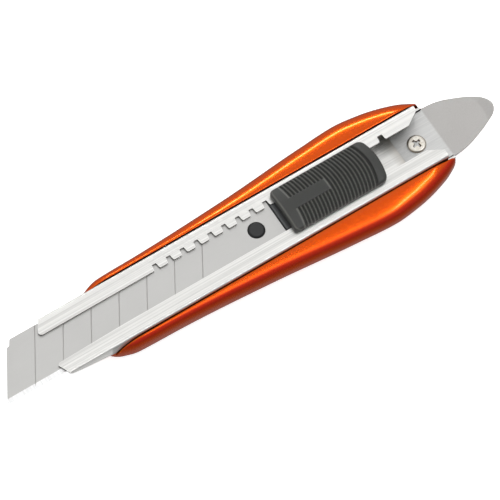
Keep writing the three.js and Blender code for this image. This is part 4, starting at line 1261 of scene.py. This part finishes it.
makeBlade()
makeCarrier()
for node, key in (("front_channel_rivet", "nickel"), ("middle_channel_rivet", "nickel"),
                  ("lock_pawl", "spring"), ("pawl_spring", "spring")):
    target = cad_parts[node]
    target.data.materials.clear()
    target.data.materials.append(finish[key])
print("blade, carriage and lock dressed")


# Floor, light and camera

stage = {
    "floorTone": 0.92,
    "floorGlow": 0.8,
    "skyAxis": (0.12, 0.42, 0.9),  # brightest part of the surround
    "skyMiddle": 0.40,
    "skySlope": 0.56,
    "skyLeast": 0.35,
    # softboxes: azimuth, elevation, half width, half height in degrees, added brightness
    "softboxes": [(66, 38.5, 9, 2.6, 6.0), (66, 38.5, 8, 1.0, 15.0), (-52, 64, 12, 8, 0.8),
                  (-18, 67.8, 14, 2.0, 3.2), (-18, 67.8, 13, 0.9, 11.0)],
    "floorHalf": 3000.0,
    "floorBelow": 0.02,
    # camera: lens and sensor in millimetres, its right and backward directions, its place in metres
    "lens": 360.0,
    "sensor": 36.0,
    "clip": (0.1, 20.0),
    "right": (0.8391, -0.5425, 0.0404),
    "back": (-0.2545, -0.3258, 0.9105),
    "standsAt": (-0.3977, -0.5018, 1.4022),
}


def makeFloor():
    # Wide sheet of plain paper under the knife, lit a little from beneath.
    half, z = stage["floorHalf"], -stage["floorBelow"]
    corners = [(-half, -half, z), (half, -half, z), (half, half, z), (-half, half, z)]
    mesh = bpy.data.meshes.new("floor")
    mesh.from_pydata(np.array(corners) * mm, [], [(0, 1, 2, 3)])
    floor = placeObject("floor", mesh)
    material, tree, shader = newMaterial("pale paper", Roughness=0.9, Emission_Strength=stage["floorGlow"])
    tone = stage["floorTone"]
    paper = ramp(tree, noise(tree, objectPlace(tree), 300.0), [(0.0, tone - 0.01), (1.0, tone + 0.01)])
    tree.links.new(paper, shader.inputs["Base Color"])
    tree.links.new(paper, shader.inputs["Emission Color"])
    mesh.materials.append(material)
    floor.visible_glossy = False


def directionOf(azimuth, elevation):
    # (cos e cos a, cos e sin a, sin e)
    a, e = math.radians(azimuth), math.radians(elevation)
    return Vector((math.cos(e) * math.cos(a), math.cos(e) * math.sin(a), math.sin(e)))


def softbox(tree, direction, azimuth, elevation, halfWidth, halfHeight, strength):
    # Soft-edged bright window in the surround, its edges fading over the outer half of each half-angle.
    centre = directionOf(azimuth, elevation)
    across = Vector((0, 0, 1)).cross(centre).normalized()
    upward = centre.cross(across)
    facing = mathNode(tree, "MAXIMUM", dotProduct(tree, direction, tuple(centre)), 0.05)
    window = strength
    for axis, half in ((across, halfWidth), (upward, halfHeight)):
        slope = mathNode(tree, "DIVIDE", dotProduct(tree, direction, tuple(axis)), facing)
        reach = math.tan(math.radians(half))
        edge = remap(tree, mathNode(tree, "ABSOLUTE", slope), 0.5 * reach, 1.3 * reach, 1.0, 0.0, "SMOOTHSTEP")
        window = mathNode(tree, "MULTIPLY", edge, window)
    return window


def makeWorld():
    # Studio surround: brightness rises smoothly towards one side of the ceiling, and softboxes are added to it.
    world = bpy.data.worlds.new("studio")
    bpy.context.scene.world = world
    world.use_nodes = True
    tree = world.node_tree
    background = tree.nodes["Background"]
    direction = addNode(tree, "ShaderNodeTexCoord").outputs["Generated"]
    towards = dotProduct(tree, direction, tuple(Vector(stage["skyAxis"]).normalized()))
    tone = mathNode(tree, "MULTIPLY_ADD", towards, stage["skySlope"], stage["skyMiddle"])
    tone = mathNode(tree, "MAXIMUM", tone, stage["skyLeast"])
    for box in stage["softboxes"]:
        tone = mathNode(tree, "ADD", tone, softbox(tree, direction, *box))
    tree.links.new(tone, background.inputs["Color"])


def makeCamera():
    # Its axes are right, up and back, squared up so that back stays as given.
    data = bpy.data.cameras.new("camera")
    data.lens, data.sensor_width = stage["lens"], stage["sensor"]
    data.clip_start, data.clip_end = stage["clip"]
    camera = placeObject("camera", data)
    right, back = Vector(stage["right"]).normalized(), Vector(stage["back"]).normalized()
    upward = back.cross(right).normalized()
    turned = Matrix((upward.cross(back), upward, back)).transposed().to_4x4()
    turned.translation = Vector(stage["standsAt"])
    camera.matrix_world = turned
    bpy.context.scene.camera = camera


makeFloor()
makeWorld()
makeCamera()
bpy.context.scene.view_settings.view_transform = "Standard"
print("stage, lights and camera made")

bpy.context.view_layer.update()
